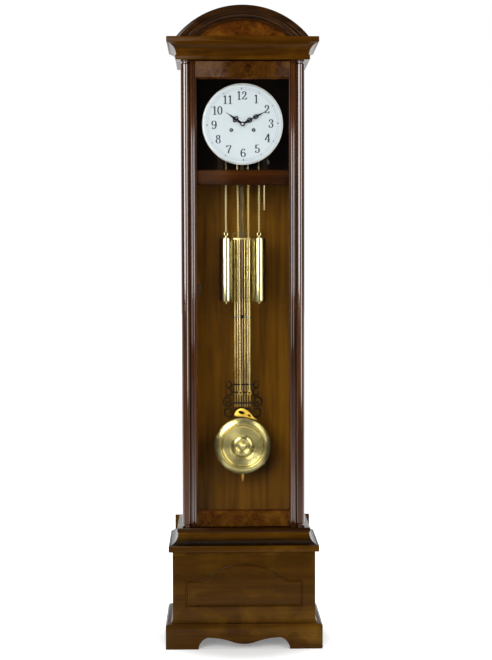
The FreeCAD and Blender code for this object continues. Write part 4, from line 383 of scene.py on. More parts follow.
# %% Brass, steel and iron
BRASS = marked_metal("brass_parts", (0.80, 0.66, 0.32), (0.56, 0.42, 0.16), 0.30, fineness=500.0)
BRASS_BOB = marked_metal("brass_bob", (0.70, 0.60, 0.25), (0.62, 0.52, 0.20), 0.25,
                         turned_about=middle_of("bob"), strength=0.03, stretch=0.85)
BRASS_DOME = marked_metal("brass_dome", (0.72, 0.63, 0.28), (0.66, 0.57, 0.24), 0.26)
BRASS_WEIGHT = marked_metal("brass_weight", (0.70, 0.63, 0.33), (0.66, 0.59, 0.30), 0.17, fineness=2500.0,
                            strength=0.0)
BRASS_YELLOW = marked_metal("brass_ornament", (0.92, 0.62, 0.10), (0.74, 0.44, 0.05), 0.34)
BRASS_CHAIN = marked_metal("brass_chain", (0.92, 0.78, 0.36), (0.74, 0.60, 0.24), 0.30)
BRASS_ROD = marked_metal("brass_rods", (0.92, 0.76, 0.30), (0.80, 0.64, 0.22), 0.26)
COPPER = marked_metal("middle_rod", (0.46, 0.34, 0.29), (0.36, 0.25, 0.21), 0.30)
# The scrollwork, its beads, the rod clamp and the leader are polished brass. Their colours are painted near
# black and dark olive, a painted reflection of the dark room round them.
BRASS_DARK_REFLECTION = marked_metal("brass_dark_reflection", (0.022, 0.017, 0.010), (0.010, 0.008, 0.005), 0.50)
LEADER_DARK_REFLECTION = marked_metal("leader_dark_reflection", (0.115, 0.088, 0.040), (0.060, 0.046, 0.020), 0.38)
STEEL = marked_metal("steel_parts", (0.56, 0.52, 0.50), (0.42, 0.38, 0.36), 0.28, slot="steel")
GONG_STEEL = marked_metal("gong_steel", (0.88, 0.76, 0.48), (0.78, 0.66, 0.40), 0.30, slot="steel")
IRON = marked_metal("iron_block", (0.06, 0.06, 0.065), (0.035, 0.035, 0.04), 0.6, slot="cast_iron")
PALE = marked_metal("pale_rim", (0.60, 0.60, 0.58), (0.48, 0.48, 0.46), 0.30, slot="pale_metal",
                    turned_about=middle_of("dial_rings"))


# %% Enamel, ink and lacquer
def mottled(name, slot, colour, shade, rough, sheen):
    """A nearly even finish with a faint cloudiness and a fine orange-peel surface."""
    material, tree, shader, point = new_finish(name, slot, Specular_IOR_Level=sheen)
    clouds = noise(tree, point, 40.0, 3.0)
    tree.links.new(blend_colour(tree, ramp(tree, clouds, 0.3, 0.7), (*shade, 1), (*colour, 1)),
                   shader.inputs["Base Color"])
    tree.links.new(ramp(tree, clouds, 0.2, 0.8, rough * 1.2, rough * 0.85), shader.inputs["Roughness"])
    add_bump(tree, shader, noise(tree, point, 900.0, 2.0), 0.03, 0.0002)
    return material


ENAMEL = mottled("dial_enamel", "dial_white", (0.39, 0.43, 0.45), (0.375, 0.415, 0.435), 0.30, sheen=0.2)
INK = mottled("dial_ink", "dial_white", (0.012, 0.014, 0.022), (0.018, 0.020, 0.030), 0.40, sheen=0.06)
GREY_INK = mottled("dial_grey_ink", "dial_white", (0.24, 0.27, 0.31), (0.21, 0.24, 0.28), 0.45, sheen=0.1)
BLACK = mottled("black_hands", "black_metal", (0.007, 0.007, 0.009), (0.012, 0.012, 0.015), 0.18, sheen=0.15)
CATCH_BROWN = mottled("catch_brown", "black_metal", (0.040, 0.017, 0.003), (0.034, 0.014, 0.0025), 0.50,
                      sheen=0.10)


# %% Door glass
def clear_glass():
    """Clear glass that shadow rays pass, with a trace of smear in its gloss."""
    material, tree, shader, point = new_finish("door_glass", "glass", Transmission_Weight=1.0, IOR=1.2,
                                               Base_Color=(0.97, 0.985, 0.98, 1))
    smear = noise(tree, point, 5.0, 4.0, 0.6, 1.5)
    tree.links.new(ramp(tree, smear, 0.45, 0.75, 0.0, 0.015), shader.inputs["Roughness"])
    through = tree.nodes.new("ShaderNodeBsdfTransparent")
    mix = tree.nodes.new("ShaderNodeMixShader")
    path = tree.nodes.new("ShaderNodeLightPath")
    tree.links.new(path.outputs["Is Shadow Ray"], mix.inputs[0])
    tree.links.new(shader.outputs[0], mix.inputs[1])
    tree.links.new(through.outputs[0], mix.inputs[2])
    tree.links.new(mix.outputs[0], tree.nodes["Material Output"].inputs["Surface"])
    return material


GLASS = clear_glass()


# %% [markdown]
# ## Ways of making a surface
# A clock case is made of few kinds of shape, and each has its own small function. An outline given a
# thickness is a plank. A profile turned on a lathe is a column, a weight or the bob. A profile run round
# three sides of the case is a moulding. A wire bent along a line is a chain link or a scroll. All of them
# work out whole arrays of points and hand them to one function that makes the mesh.

# %% From points to a piece
def grid_faces(rows, columns, ring=True, loop=False):
    """The four-sided faces of a grid of points. A ring closes the columns, a loop closes the rows."""
    row = np.arange(rows if loop else rows - 1)[:, None]
    column = np.arange(columns if ring else columns - 1)[None, :]
    next_row, next_column = (row + 1) % rows, (column + 1) % columns
    corners = (row * columns + column, row * columns + next_column,
               next_row * columns + next_column, next_row * columns + column)
    return np.stack([np.broadcast_to(c, (row.size, column.size)) for c in corners], axis=-1).reshape(-1, 4)


SHARP_ANGLE = 28.0


def make_piece(name, points, faces, body, finish, replaced=()):
    """A mesh object at the origin, from points in millimetres, riding on a body of the clock."""
    mesh = bpy.data.meshes.new(name)
    mesh.from_pydata((np.asarray(points, float).reshape(-1, 3) * MM).tolist(), [],
                     [[int(i) for i in face] for face in faces])
    work = bmesh.new()
    work.from_mesh(mesh)
    bmesh.ops.remove_doubles(work, verts=work.verts, dist=1e-7)
    bmesh.ops.dissolve_degenerate(work, dist=1e-8, edges=work.edges)
    bmesh.ops.recalc_face_normals(work, faces=work.faces)
    work.to_mesh(mesh)
    work.free()
    mesh.shade_smooth()
    mesh.set_sharp_from_angle(angle=math.radians(SHARP_ANGLE))
    piece = bpy.data.objects.new(name, mesh)
    bpy.context.scene.collection.objects.link(piece)
    mesh.materials.append(finish)
    if body:
        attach(piece, body)
    if replaced:
        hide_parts(*replaced)
    print("%-24s %6d faces" % (name, len(mesh.polygons)))
    return piece


def joined(parts):
    """Several (points, faces) pairs as one pair."""
    points, faces, count = [], [], 0
    for part_points, part_faces in parts:
        part_points = np.asarray(part_points, float).reshape(-1, 3)
        points.append(part_points)
        faces += [tuple(int(i) + count for i in face) for face in part_faces]
        count += len(part_points)
    return np.concatenate(points), faces


# %% Outlines
def arc_between(start, end, radius, side, steps=10):
    """Points on an arc from start to end, both included, that bulges right (side 1) or left (side -1)."""
    start, end = np.array(start, float), np.array(end, float)
    chord = end - start
    half = np.linalg.norm(chord) / 2
    right = np.array([chord[1], -chord[0]]) / (2 * half)
    centre = (start + end) / 2 - right * side * math.sqrt(max(radius * radius - half * half, 0.0))
    first = math.atan2(*(start - centre)[::-1])
    last = math.atan2(*(end - centre)[::-1])
    sweep = (last - first + math.pi) % (2 * math.pi) - math.pi
    turn = first + sweep * np.linspace(0, 1, steps + 1)
    return centre + radius * np.stack([np.cos(turn), np.sin(turn)], axis=-1)


def softened(corners, radius, steps=4):
    """An outline with every corner eased by a parabola that starts and ends one radius from the corner."""
    corners = np.asarray(corners, float)
    to_before = np.roll(corners, 1, axis=0) - corners
    to_after = np.roll(corners, -1, axis=0) - corners

    def reach(edge):
        length = np.linalg.norm(edge, axis=1, keepdims=True)
        return edge / length * np.minimum(radius, length * 0.45)

    share = np.linspace(0, 1, steps + 1)[None, :, None]
    here = corners[:, None, :]
    before, after = here + reach(to_before)[:, None, :], here + reach(to_after)[:, None, :]
    return ((1 - share) ** 2 * before + 2 * share * (1 - share) * here + share ** 2 * after).reshape(-1, 2)


def spline_through(p0, p1, p2, p3, steps):
    """A Catmull-Rom spline from p1 to p2, for whole arrays of neighbours at once."""
    t = (np.arange(steps) / steps)[None, :, None]
    spline = 0.5 * (2 * p1 + (p2 - p0) * t + (2 * p0 - 5 * p1 + 4 * p2 - p3) * t ** 2
                    + (3 * p1 - p0 - 3 * p2 + p3) * t ** 3)
    return spline.reshape(-1, 2)


def flowing(points, steps):
    """A closed line that flows through points."""
    points = np.asarray(points, float)
    p0, p1, p2, p3 = (np.roll(points, shift, axis=0)[:, None, :] for shift in (1, 0, -1, -2))
    return spline_through(p0, p1, p2, p3, steps)


def ring_outline(across, up, radius, steps=32):
    """The points of a circle."""
    turn = np.arange(steps) / steps * 2 * math.pi
    return np.stack([across + radius * np.cos(turn), up + radius * np.sin(turn)], axis=-1)


def turned_way(outline, left=True):
    """The outline with its inside on the left, or on the right for a hole."""
    outline = np.asarray(outline, float)
    outline = outline[np.linalg.norm(outline - np.roll(outline, 1, axis=0), axis=1) > 1e-4]
    ahead = np.roll(outline, -1, axis=0)
    area = np.sum(outline[:, 0] * ahead[:, 1] - ahead[:, 0] * outline[:, 1])
    return outline if (area > 0) == left else outline[::-1]


def moved_in(outline, distance):
    """Every point of an outline moved to its left, so that the edges move by the distance."""
    into = outline - np.roll(outline, 1, axis=0)
    away = np.roll(outline, -1, axis=0) - outline

    def left(edge):
        return np.stack([-edge[:, 1], edge[:, 0]], axis=-1) / np.linalg.norm(edge, axis=1, keepdims=True)

    first, second = left(into), left(away)
    middle = first + second
    middle /= np.linalg.norm(middle, axis=1, keepdims=True)
    lean = np.maximum(np.sum(middle * first, axis=1, keepdims=True), 0.35)
    return outline + middle / lean * distance


# %% Planks
EASE_SHARE = 0.29


def plank(outlines, low, high, ease, lay="front"):
    """A flat piece: an outline and its holes, carried from low to high with eased edges.
    Lay "front" reads an outline as (x, z) and carries along y, "top" as (x, y) and carries along z."""
    rings = [turned_way(outline, index == 0) for index, outline in enumerate(outlines)]
    levels = ((low, ease), (low + ease * EASE_SHARE, ease * EASE_SHARE), (low + ease, 0.0),
              (high - ease, 0.0), (high - ease * EASE_SHARE, ease * EASE_SHARE), (high, ease))
    points, faces, count = [], [], 0
    caps = {0: [], len(levels) - 1: []}
    for ring in rings:
        for index, (level, step) in enumerate(levels):
            flat = moved_in(ring, step)
            depth = np.full((len(ring), 1), level)
            if index in caps:
                caps[index].append((count + index * len(ring), flat))
            points.append(np.concatenate([flat[:, :1], depth, flat[:, 1:]], axis=1) if lay == "front"
                          else np.concatenate([flat, depth], axis=1))
        faces += (grid_faces(len(levels), len(ring)) + count).tolist()
        count += len(levels) * len(ring)
    for loops in caps.values():
        index = np.concatenate([start + np.arange(len(flat)) for start, flat in loops])
        for triangle in tessellate_polygon([[Vector((*spot, 0.0)) for spot in flat] for _, flat in loops]):
            faces.append([index[corner] for corner in triangle])
    return np.concatenate(points), faces


def rectangle(low, high, up=2):
    """The corners of a box, seen from the front, or from above where up is 1."""
    return [(low[0], low[up]), (high[0], low[up]), (high[0], high[up]), (low[0], high[up])]


def block(low, high, ease):
    """A board with eased edges between two corners."""
    return plank([softened(rectangle(low, high), ease)], low[1], high[1], ease)


# %% Turned work
def lathe(profile, centre, axis="up", segments=64, closed=False):
    """A profile of (radius, height) turned about an upright axis, or about one that points at the viewer."""
    profile = np.asarray(profile, float)
    turn = np.arange(segments) / segments * 2 * math.pi
    across = profile[:, :1] * np.cos(turn)
    along = profile[:, :1] * np.sin(turn)
    height = np.broadcast_to(profile[:, 1:], across.shape)
    x, y, z = centre
    if axis == "up":
        points = np.stack([x + across, y + along, z + height], axis=-1)
    else:
        points = np.stack([x + across, y - height, z + along], axis=-1)
    return points.reshape(-1, 3), grid_faces(len(profile), segments, loop=closed)


# %% Mouldings round the case and round an opening
def wrapped(profile, half, front, back):
    """A profile of (outwards, up) run along the left side, the front and the right side, mitred."""
    profile = np.asarray(profile, float)
    out, up = profile[:, 0], profile[:, 1]
    level = np.full_like(out, back)
    reach = half + out
    stations = [(-reach, level), (-reach, front - out), (reach, front - out), (reach, level)]
    points = np.stack([np.stack([x, y, up], axis=-1) for x, y in stations])
    count = len(profile)
    faces = grid_faces(4, count).tolist()
    faces += [list(range(count))[::-1], [3 * count + i for i in range(count)]]
    return points.reshape(-1, 3), faces


def frame_strip(profile, low, high, front):
    """A profile of (inwards, back) run round a rectangle from (x, z) to (x, z), mitred."""
    profile = np.asarray(profile, float)
    into, back = profile[:, 0], front + profile[:, 1]
    corners = ((low[0], low[1], 1, 1), (high[0], low[1], -1, 1), (high[0], high[1], -1, -1),
               (low[0], high[1], 1, -1))
    points = np.stack([np.stack([x + sx * into, back, z + sz * into], axis=-1) for x, z, sx, sz in corners])
    return points.reshape(-1, 3), grid_faces(4, len(profile), loop=True)


def bent(profile, centre_z, spring_z, rows=97):
    """A profile of (y, radius) bent over an arch. Every radius ends at the level plane it stands on."""
    profile = np.asarray(profile, float)
    radius = profile[:, 1]
    reach = np.arccos(np.clip((spring_z - centre_z) / radius, -1, 1))
    turn = np.linspace(-1, 1, rows)[:, None] * reach[None, :]
    points = np.stack([radius * np.sin(turn), np.broadcast_to(profile[:, 0], turn.shape),
                       centre_z + radius * np.cos(turn)], axis=-1)
    count = len(profile)
    faces = grid_faces(rows, count).tolist()
    faces += [list(range(count))[::-1], [(rows - 1) * count + i for i in range(count)]]
    return points.reshape(-1, 3), faces


# %% Wires
def wire(path, across, deep, sides=8, closed=False):
    """A round or flat wire along a path in a plane that faces the viewer.
    The section is an ellipse, across in the plane and deep along y, and may change along the path."""
    path = np.asarray(path, float)
    ahead = np.roll(path, -1, axis=0) - np.roll(path, 1, axis=0)
    if not closed:
        ahead[0], ahead[-1] = path[1] - path[0], path[-1] - path[-2]
    side = np.stack([-ahead[:, 2], np.zeros(len(path)), ahead[:, 0]], axis=-1)
    side /= np.linalg.norm(side, axis=1, keepdims=True)
    turn = np.arange(sides) / sides * 2 * math.pi
    across = np.broadcast_to(across, (len(path),))[:, None, None]
    deep = np.broadcast_to(deep, (len(path),))[:, None, None]
    depth = np.array([0.0, 1.0, 0.0])
    points = (path[:, None, :] + side[:, None, :] * np.cos(turn)[None, :, None] * across
              + depth * np.sin(turn)[None, :, None] * deep)
    faces = grid_faces(len(path), sides, loop=closed).tolist()
    if not closed:
        faces += [list(range(sides))[::-1], [(len(path) - 1) * sides + i for i in range(sides)]]
    return points.reshape(-1, 3), faces


def in_front(flat, y):
    """Flat (x, z) points set upright at a depth."""
    flat = np.asarray(flat, float)
    return np.stack([flat[:, 0], np.full(len(flat), y), flat[:, 1]], axis=-1)


# %% [markdown]
# ## The plinth and the base
# The lowest part is a skirt with two bracket feet: the lower edge of its front board rises from each foot in
# a short hollow and then sags in a long double curve. It is cut from one board, so it is an outline given a
# thickness. Above it an ogee leads in to the base, whose front board has a routed groove in the shape of an
# arched panel.

# %% Plinth boards
low, high = span("plinth_boards")
BOARD, BACK, BOARD_EASE, SKIRT_EASE = 18.0, 139.0, 0.8, 1.0
FOOT, FOOT_BEND, CUSP, CUSP_RISE, DROP, OGEE = 143.0, 42.0, 115.0, 36.5, 16.5, 0.33


def scallop(steps=16):
    """The lower edge of the skirt from left to right, as (x, z)."""
    bend = (CUSP ** 2 + (CUSP_RISE - DROP) ** 2) / (2 * (CUSP_RISE - DROP))
    hollow = arc_between((-FOOT, 0), (-CUSP, CUSP_RISE), FOOT_BEND, -1, steps)
    x = np.linspace(-CUSP, CUSP, 4 * steps + 1)[1:-1]
    outer = CUSP_RISE - bend * (1 - OGEE) + np.sqrt((bend * (1 - OGEE)) ** 2 - (CUSP - np.abs(x)) ** 2)
    inner = DROP + bend * OGEE - np.sqrt(np.maximum((bend * OGEE) ** 2 - x ** 2, 0))
    z = np.where(np.abs(x) > CUSP * OGEE, outer, inner)
    middle = np.stack([x, z], axis=-1)
    return np.concatenate([hollow, middle, hollow[::-1] * (-1, 1)])


skirt = np.concatenate([[(low[0], 0)], scallop(), [(high[0], 0), (high[0], high[2]), (low[0], high[2])]])
parts = [plank([skirt], low[1], low[1] + BOARD, SKIRT_EASE)]
for edge in (low[0], high[0] - BOARD):
    parts.append(block((edge, low[1] + BOARD, 0), (edge + BOARD, BACK, high[2]), SKIRT_EASE))
make_piece("plinth_skirt", *joined(parts), "case", WALNUT_LEVEL, ["plinth_boards"])

# %% Ogee over the plinth
low, high = span("plinth_moulding")
half_base, base_front = span("base_front_board")[1][0], span("base_front_board")[0][1]
OGEE_RUN, OGEE_LIP, OGEE_BACKING = 20.0, 0.6, 1.0
run, rise = OGEE_RUN, high[2] - low[2]
curve = (run ** 2 + rise ** 2) / (2 * rise)
turn_point = (run * (1 - OGEE), rise * OGEE)
ogee = np.concatenate([
    [(-OGEE_BACKING, 0.0), (run, 0.0), (run, OGEE_LIP)],
    arc_between((run, OGEE_LIP), turn_point, curve * OGEE, 1, 6)[1:],
    arc_between(turn_point, (0.0, rise), curve * (1 - OGEE), -1, 10)[1:],
    [(-OGEE_BACKING, rise)]]) + (0, low[2])
make_piece("plinth_ogee", *wrapped(ogee, half_base, base_front, high[1]), "case", WALNUT_LEVEL,
           ["plinth_moulding"])

# %% Base boards and the routed panel
low, high = span("base_front_board")
PANEL_SIDE, PANEL_LOW, PANEL_SHOULDER, PANEL_STEP = 38.5, 54.0, 85.5, 31.0
PANEL_ARCH, PANEL_OGEE = 52.5, 0.27
GROOVE, GROOVE_DEPTH, GROOVE_LIP, LIP_DEPTH = 8.0, 4.4, 0.7, 0.9


def panel_outline(inset, steps=12):
    """A flat-bottomed panel whose top rises in an ogee to a low arch, as (x, z)."""
    half = half_base - PANEL_SIDE - inset
    bottom = low[2] + PANEL_LOW + inset
    shoulder = low[2] + PANEL_LOW + PANEL_SHOULDER - inset
    reach = half_base - PANEL_SIDE - PANEL_STEP
    bend = (reach ** 2 + PANEL_ARCH ** 2) / (2 * PANEL_ARCH)
    x = np.linspace(reach, -reach, 6 * steps + 1)
    tight, wide = bend * PANEL_OGEE, bend * (1 - PANEL_OGEE)
    outer = tight - np.sqrt(np.maximum(tight ** 2 - (reach - np.abs(x)) ** 2, 0))
    inner = PANEL_ARCH - wide + np.sqrt(wide ** 2 - x ** 2)
    z = shoulder + np.where(np.abs(x) > reach * (1 - PANEL_OGEE), outer, inner)
    arch_line = np.stack([x, z], axis=-1)
    corners = [(-half, bottom), (half, bottom), (half, shoulder)]
    return np.concatenate([corners, arch_line, [(-half, shoulder)]])


def routed_board():
    """The front board of the base: a flat board, a hollow groove and the flat field inside the groove."""
    steps = ((0.0, 0.0), (GROOVE_LIP, LIP_DEPTH), (GROOVE * 0.28, GROOVE_DEPTH * 0.85),
             (GROOVE * 0.5, GROOVE_DEPTH), (GROOVE * 0.72, GROOVE_DEPTH * 0.85),
             (GROOVE - GROOVE_LIP, LIP_DEPTH), (GROOVE, 0.0))
    rings = [in_front(panel_outline(inset), low[1] + depth) for inset, depth in steps]
    count = len(rings[0])
    rim = softened(rectangle(low, high), BOARD_EASE)
    rim_count = len(rim)
    points = np.concatenate(rings + [in_front(rim, low[1]), in_front(rim, low[1] + BOARD)])
    faces = grid_faces(len(rings), count).tolist()
    start = len(rings) * count
    faces += (grid_faces(2, rim_count) + start).tolist()
    outer = [Vector((*spot, 0)) for spot in rim]
    opening = [Vector((*spot, 0)) for spot in panel_outline(0.0)]
    index = np.concatenate([start + np.arange(rim_count), np.arange(count)])
    faces += [[index[corner] for corner in triangle] for triangle in tessellate_polygon([outer, opening])]
    faces.append([(len(rings) - 1) * count + i for i in range(count)])
    faces.append([start + rim_count + i for i in range(rim_count)])
    return points, faces


make_piece("base_panel", *routed_board(), "case", WALNUT_LEVEL, ["base_front_board"])
low, high = span("base_sides")
parts = [block((edge, low[1], low[2]), (edge + BOARD, high[1], high[2]), BOARD_EASE)
         for edge in (low[0], high[0] - BOARD)]
make_piece("base_ends", *joined(parts), "case", WALNUT_UP, ["base_sides"])

# %% [markdown]
# ## Slabs, coves and the arched pediment
# Between base, trunk and pediment lie flat slabs with eased edges, and hollow coves between them. The slab is
# a plank, the cove a profile wrapped round three sides. The pediment is a moulding bent over an arch: seen
# from outside it has a broad rounded band, a deep hollow and a thin bright bead. Each of its lines ends on
# the slab, so the sweep gives every line its own angle there.

# %% Slabs
SLAB_CORNER, SLAB_EASE = 2.0, 2.2
SLAB_FINISH = {"base_slab": WALNUT_LEVEL, "waist_slab": DARK_LEVEL, "cornice_slab": WALNUT_LIGHT,
               "top_slab": WALNUT_LIGHT}
for name, finish in SLAB_FINISH.items():
    low, high = span(name)
    outline = softened(rectangle(low, high, up=1), SLAB_CORNER)
    make_piece(name + "_board", *plank([outline], low[2], high[2], SLAB_EASE, "top"), "case", finish, [name])

# %% Coves
low_slab, low_front = span("waist_slab")[1][0], span("waist_slab")[0][1]
COVE_BACKING, COVE_LIP, COVE_RUN, COVE_BEND = 16.0, 3.0, 23.5, 36.0
for name, low_run, high_run in (("waist_cove", COVE_RUN, -COVE_LIP), ("cornice_cove", -COVE_LIP, COVE_RUN)):
    low, high = span(name)
    rise = high[2] - low[2]
    hollow = arc_between((low_run, 0.0), (high_run, rise), COVE_BEND, -1, 20)
    profile = np.concatenate([[(-COVE_BACKING, 0.0)], hollow, [(-COVE_BACKING, rise)]]) + (0, low[2])
    finish = WAIST_COVE if name == "waist_cove" else WALNUT_LIGHT
    make_piece(name + "_moulding", *wrapped(profile, low_slab, low_front, high[1]), "case", finish, [name])

# %% Arched pediment
low, high = span("arch_moulding")
half_arch, arch_rise = high[0], high[2] - low[2]
arch_radius = (half_arch ** 2 + arch_rise ** 2) / (2 * arch_rise)
arch_centre, arch_front = high[2] - arch_radius, low[1]
ARCH_PROFILE = [(20.0, 46.0), (20.0, 0.0), (3.0, 0.0), (1.4, 0.5), (0.5, 1.4), (0.0, 3.2), (0.0, 14.6),
                (0.6, 16.4), (1.8, 17.6), (3.2, 18.0), (5.6, 19.0), (7.6, 21.6), (8.6, 25.0), (8.4, 28.6),
                (6.8, 31.6), (4.4, 33.2), (2.6, 33.6), (2.0, 34.8), (2.0, 36.2), (2.6, 37.4), (4.4, 37.8),
                (10.0, 38.0), (10.0, 46.0)]
profile = [(arch_front + deep, arch_radius - down) for deep, down in ARCH_PROFILE]
make_piece("arch_band", *bent(profile, arch_centre, low[2]), "case", ARCH_WOOD, ["arch_moulding"])
low, high = span("arch_roof")
ROOF_SHEET, SPRING_GAP = 6.0, 0.01
roof_edge, gable_foot = high[2] - arch_centre, low[2] - arch_centre + SPRING_GAP
roof_inner, gable_face = roof_edge - ROOF_SHEET, high[1] - ROOF_SHEET
roof = [(low[1], roof_edge), (low[1], roof_inner), (high[1], roof_inner), (high[1], roof_edge)]
gable = [(gable_face, roof_inner), (gable_face, gable_foot), (high[1], gable_foot), (high[1], roof_inner)]
make_piece("arch_shell", *joined([bent(roof, arch_centre, low[2]), bent(gable, arch_centre, low[2])]), "case",
           WALNUT_UP, ["arch_roof"])

# %% [markdown]
# ## Corner columns
# A turned column stands in each front corner of the trunk. It is plain and round, with a small ring and a
# neck at each end, and its gloss draws one long white line from the studio light.

# %% Columns
low, high = span("corner_columns")
COLUMN = 14.0
length = high[2] - low[2]
end = [(0.0, 0.0), (12.6, 0.0), (13.5, 0.5), (COLUMN, 1.4), (COLUMN, 3.8), (13.5, 4.7), (12.4, 5.0),
       (10.9, 5.4), (10.7, 7.0), (10.9, 8.8), (12.0, 9.9), (13.4, 10.7), (COLUMN, 11.8)]
column_profile = end + [(radius, length - height) for radius, height in end[::-1]]
parts = [lathe(column_profile, (across, low[1] + COLUMN, low[2]), segments=96)
         for across in (low[0] + COLUMN, high[0] - COLUMN)]
make_piece("turned_columns", *joined(parts), "case", RED_UP, ["corner_columns"])

# %% [markdown]
# ## The door
# The stiles of the door carry two reeds each, planed along their whole length, so their section is an outline
# carried upwards. A thin bead holds the glass; it is one profile run round the opening and mitred.

# %% Door stiles
low, high = span("door_stiles")
STILE, REED, REED_BEND, SILL, LAND = 16.5, 6.6, 3.5, 2.4, 1.2
INNER_EASE, OUTER_EASE, STILE_EASE = 0.5, 0.4, 0.3
reed_line = np.concatenate([arc_between((start + REED, SILL), (start, SILL), REED_BEND, 1, 8)
                            for start in (LAND - STILE + REED, LAND - STILE)])
stile_depth = high[1] - low[1]
section = np.concatenate([[(0.0, stile_depth), (0.0, SILL + INNER_EASE), (-INNER_EASE, SILL)], reed_line,
                          [(OUTER_EASE - STILE, SILL), (-STILE, SILL + OUTER_EASE), (-STILE, stile_depth)]])
parts = []
for edge, side in ((low[0], -1), (high[0], 1)):
    outline = section * (side, 1) + (edge, low[1])
    parts.append(plank([outline], low[2], high[2], STILE_EASE, "top"))
make_piece("reeded_stiles", *joined(parts), "door", RED_UP, ["door_stiles"])

# %% Glazing beads
low, high = span("glazing_beads")
BEAD = 5.0
bead = [(0.0, 0.0), (1.6, 0.2), (2.9, 1.0), (3.7, 2.4), (4.0, 4.2), (4.0, BEAD), (0.0, BEAD)]
flipped = [(into, BEAD - back) for into, back in bead[::-1]]
for name, front, strip in (("front_bead", low[1], bead), ("back_bead", high[1] - BEAD, flipped)):
    make_piece(name, *frame_strip(strip, (low[0], low[2]), (high[0], high[2]), front), "door", RED_BEAD,
               ["glazing_beads"])
print("door dressed")

# %% Rails of the door and the rail under the dial
low, high = span("door_rails")
bead_low, bead_high = span("glazing_beads")
RAIL_EASE, SEAT_RAIL_EASE = 1.6, 2.5
parts = [block(low, (high[0], high[1], bead_low[2]), RAIL_EASE),
         block((low[0], low[1], bead_high[2]), high, RAIL_EASE)]
make_piece("burl_rails", *joined(parts), "door", BURL, ["door_rails"])
low, high = span("seat_rail")
make_piece("movement_rail", *block(low, high, SEAT_RAIL_EASE), "case", RED_LEVEL, ["seat_rail"])

# %% [markdown]
# ## The dial
# The dial is a white enamelled disc in a thin turned rim. Its figures are printed: a broad nib draws them,
# so an upright stroke is thick and a level one is thin. The same rule draws them here: each figure is a
# pen line, and the width of the line follows its direction. Balls and serifs close the ends.

# %% Rim and ferrules
low, high = span("dial_rings")
plate_low, plate_high = span("dial_plate")
DIAL_X, DIAL_Z = 0.0, (low[2] + high[2]) / 2
DIAL_RADIUS, RIM_RADIUS = (plate_high[0] - plate_low[0]) / 2, (high[0] - low[0]) / 2
DIAL_FACE, WINDING_X, WINDING_Z = plate_low[1], 35.0, 1619.7
RIM_INNER, RIM_REBATE = DIAL_RADIUS - 3.5, RIM_RADIUS - 1.5
rim = [(RIM_INNER, -0.2), (RIM_INNER, 0.8), (RIM_INNER + 0.9, 1.3), (RIM_INNER + 1.7, 1.2),
       (RIM_INNER + 2.0, 2.2), (RIM_INNER + 3.1, 3.4), (RIM_RADIUS - 1.0, 3.5), (RIM_RADIUS - 0.2, 2.8),
       (RIM_RADIUS, 1.6), (RIM_RADIUS, -1.5), (RIM_REBATE, -1.5), (RIM_REBATE, -0.2)]
make_piece("dial_rim", *lathe(rim, (DIAL_X, DIAL_FACE, DIAL_Z), "viewer", 192, closed=True), "case", PALE,
           ["dial_rings"])
# Each ferrule is closed at the back by a black disc: painted shade for the dark winding hole.
ferrule_and_shade_disc = [(0.0, -1.0), (3.7, -1.0), (3.9, 0.7), (4.5, 1.0), (5.6, 0.8), (6.0, 0.0), (5.0, 0.0), (5.0, -1.4),
           (0.0, -1.4)]
parts = [lathe(ferrule_and_shade_disc, (side * WINDING_X, DIAL_FACE, WINDING_Z), "viewer", 48) for side in (-1, 1)]
make_piece("winding_ferrules", *joined(parts), "case", INK)

# %% Pen lines for the figures
FIGURE_HEIGHT, FIGURE_REACH, DIAL_TURN = 0.207, 0.715, 1.4
PEN_THICK, PEN_THIN, PEN_TURN, PRINT_RISE, PRINT_SINK = 0.170, 0.068, 2.2, 0.10, 0.02
SPREAD, BALL_SHARE, HOUR_DEGREES = 1.16, 0.075, 30
OVAL = np.linspace(0, 2 * math.pi, 33)


def oval(across, up, half, rise):
    """A closed oval line that starts and ends at its top."""
    turn = OVAL + math.pi / 2
    return np.stack([across + half * np.cos(turn), up + rise * np.sin(turn)], axis=-1)


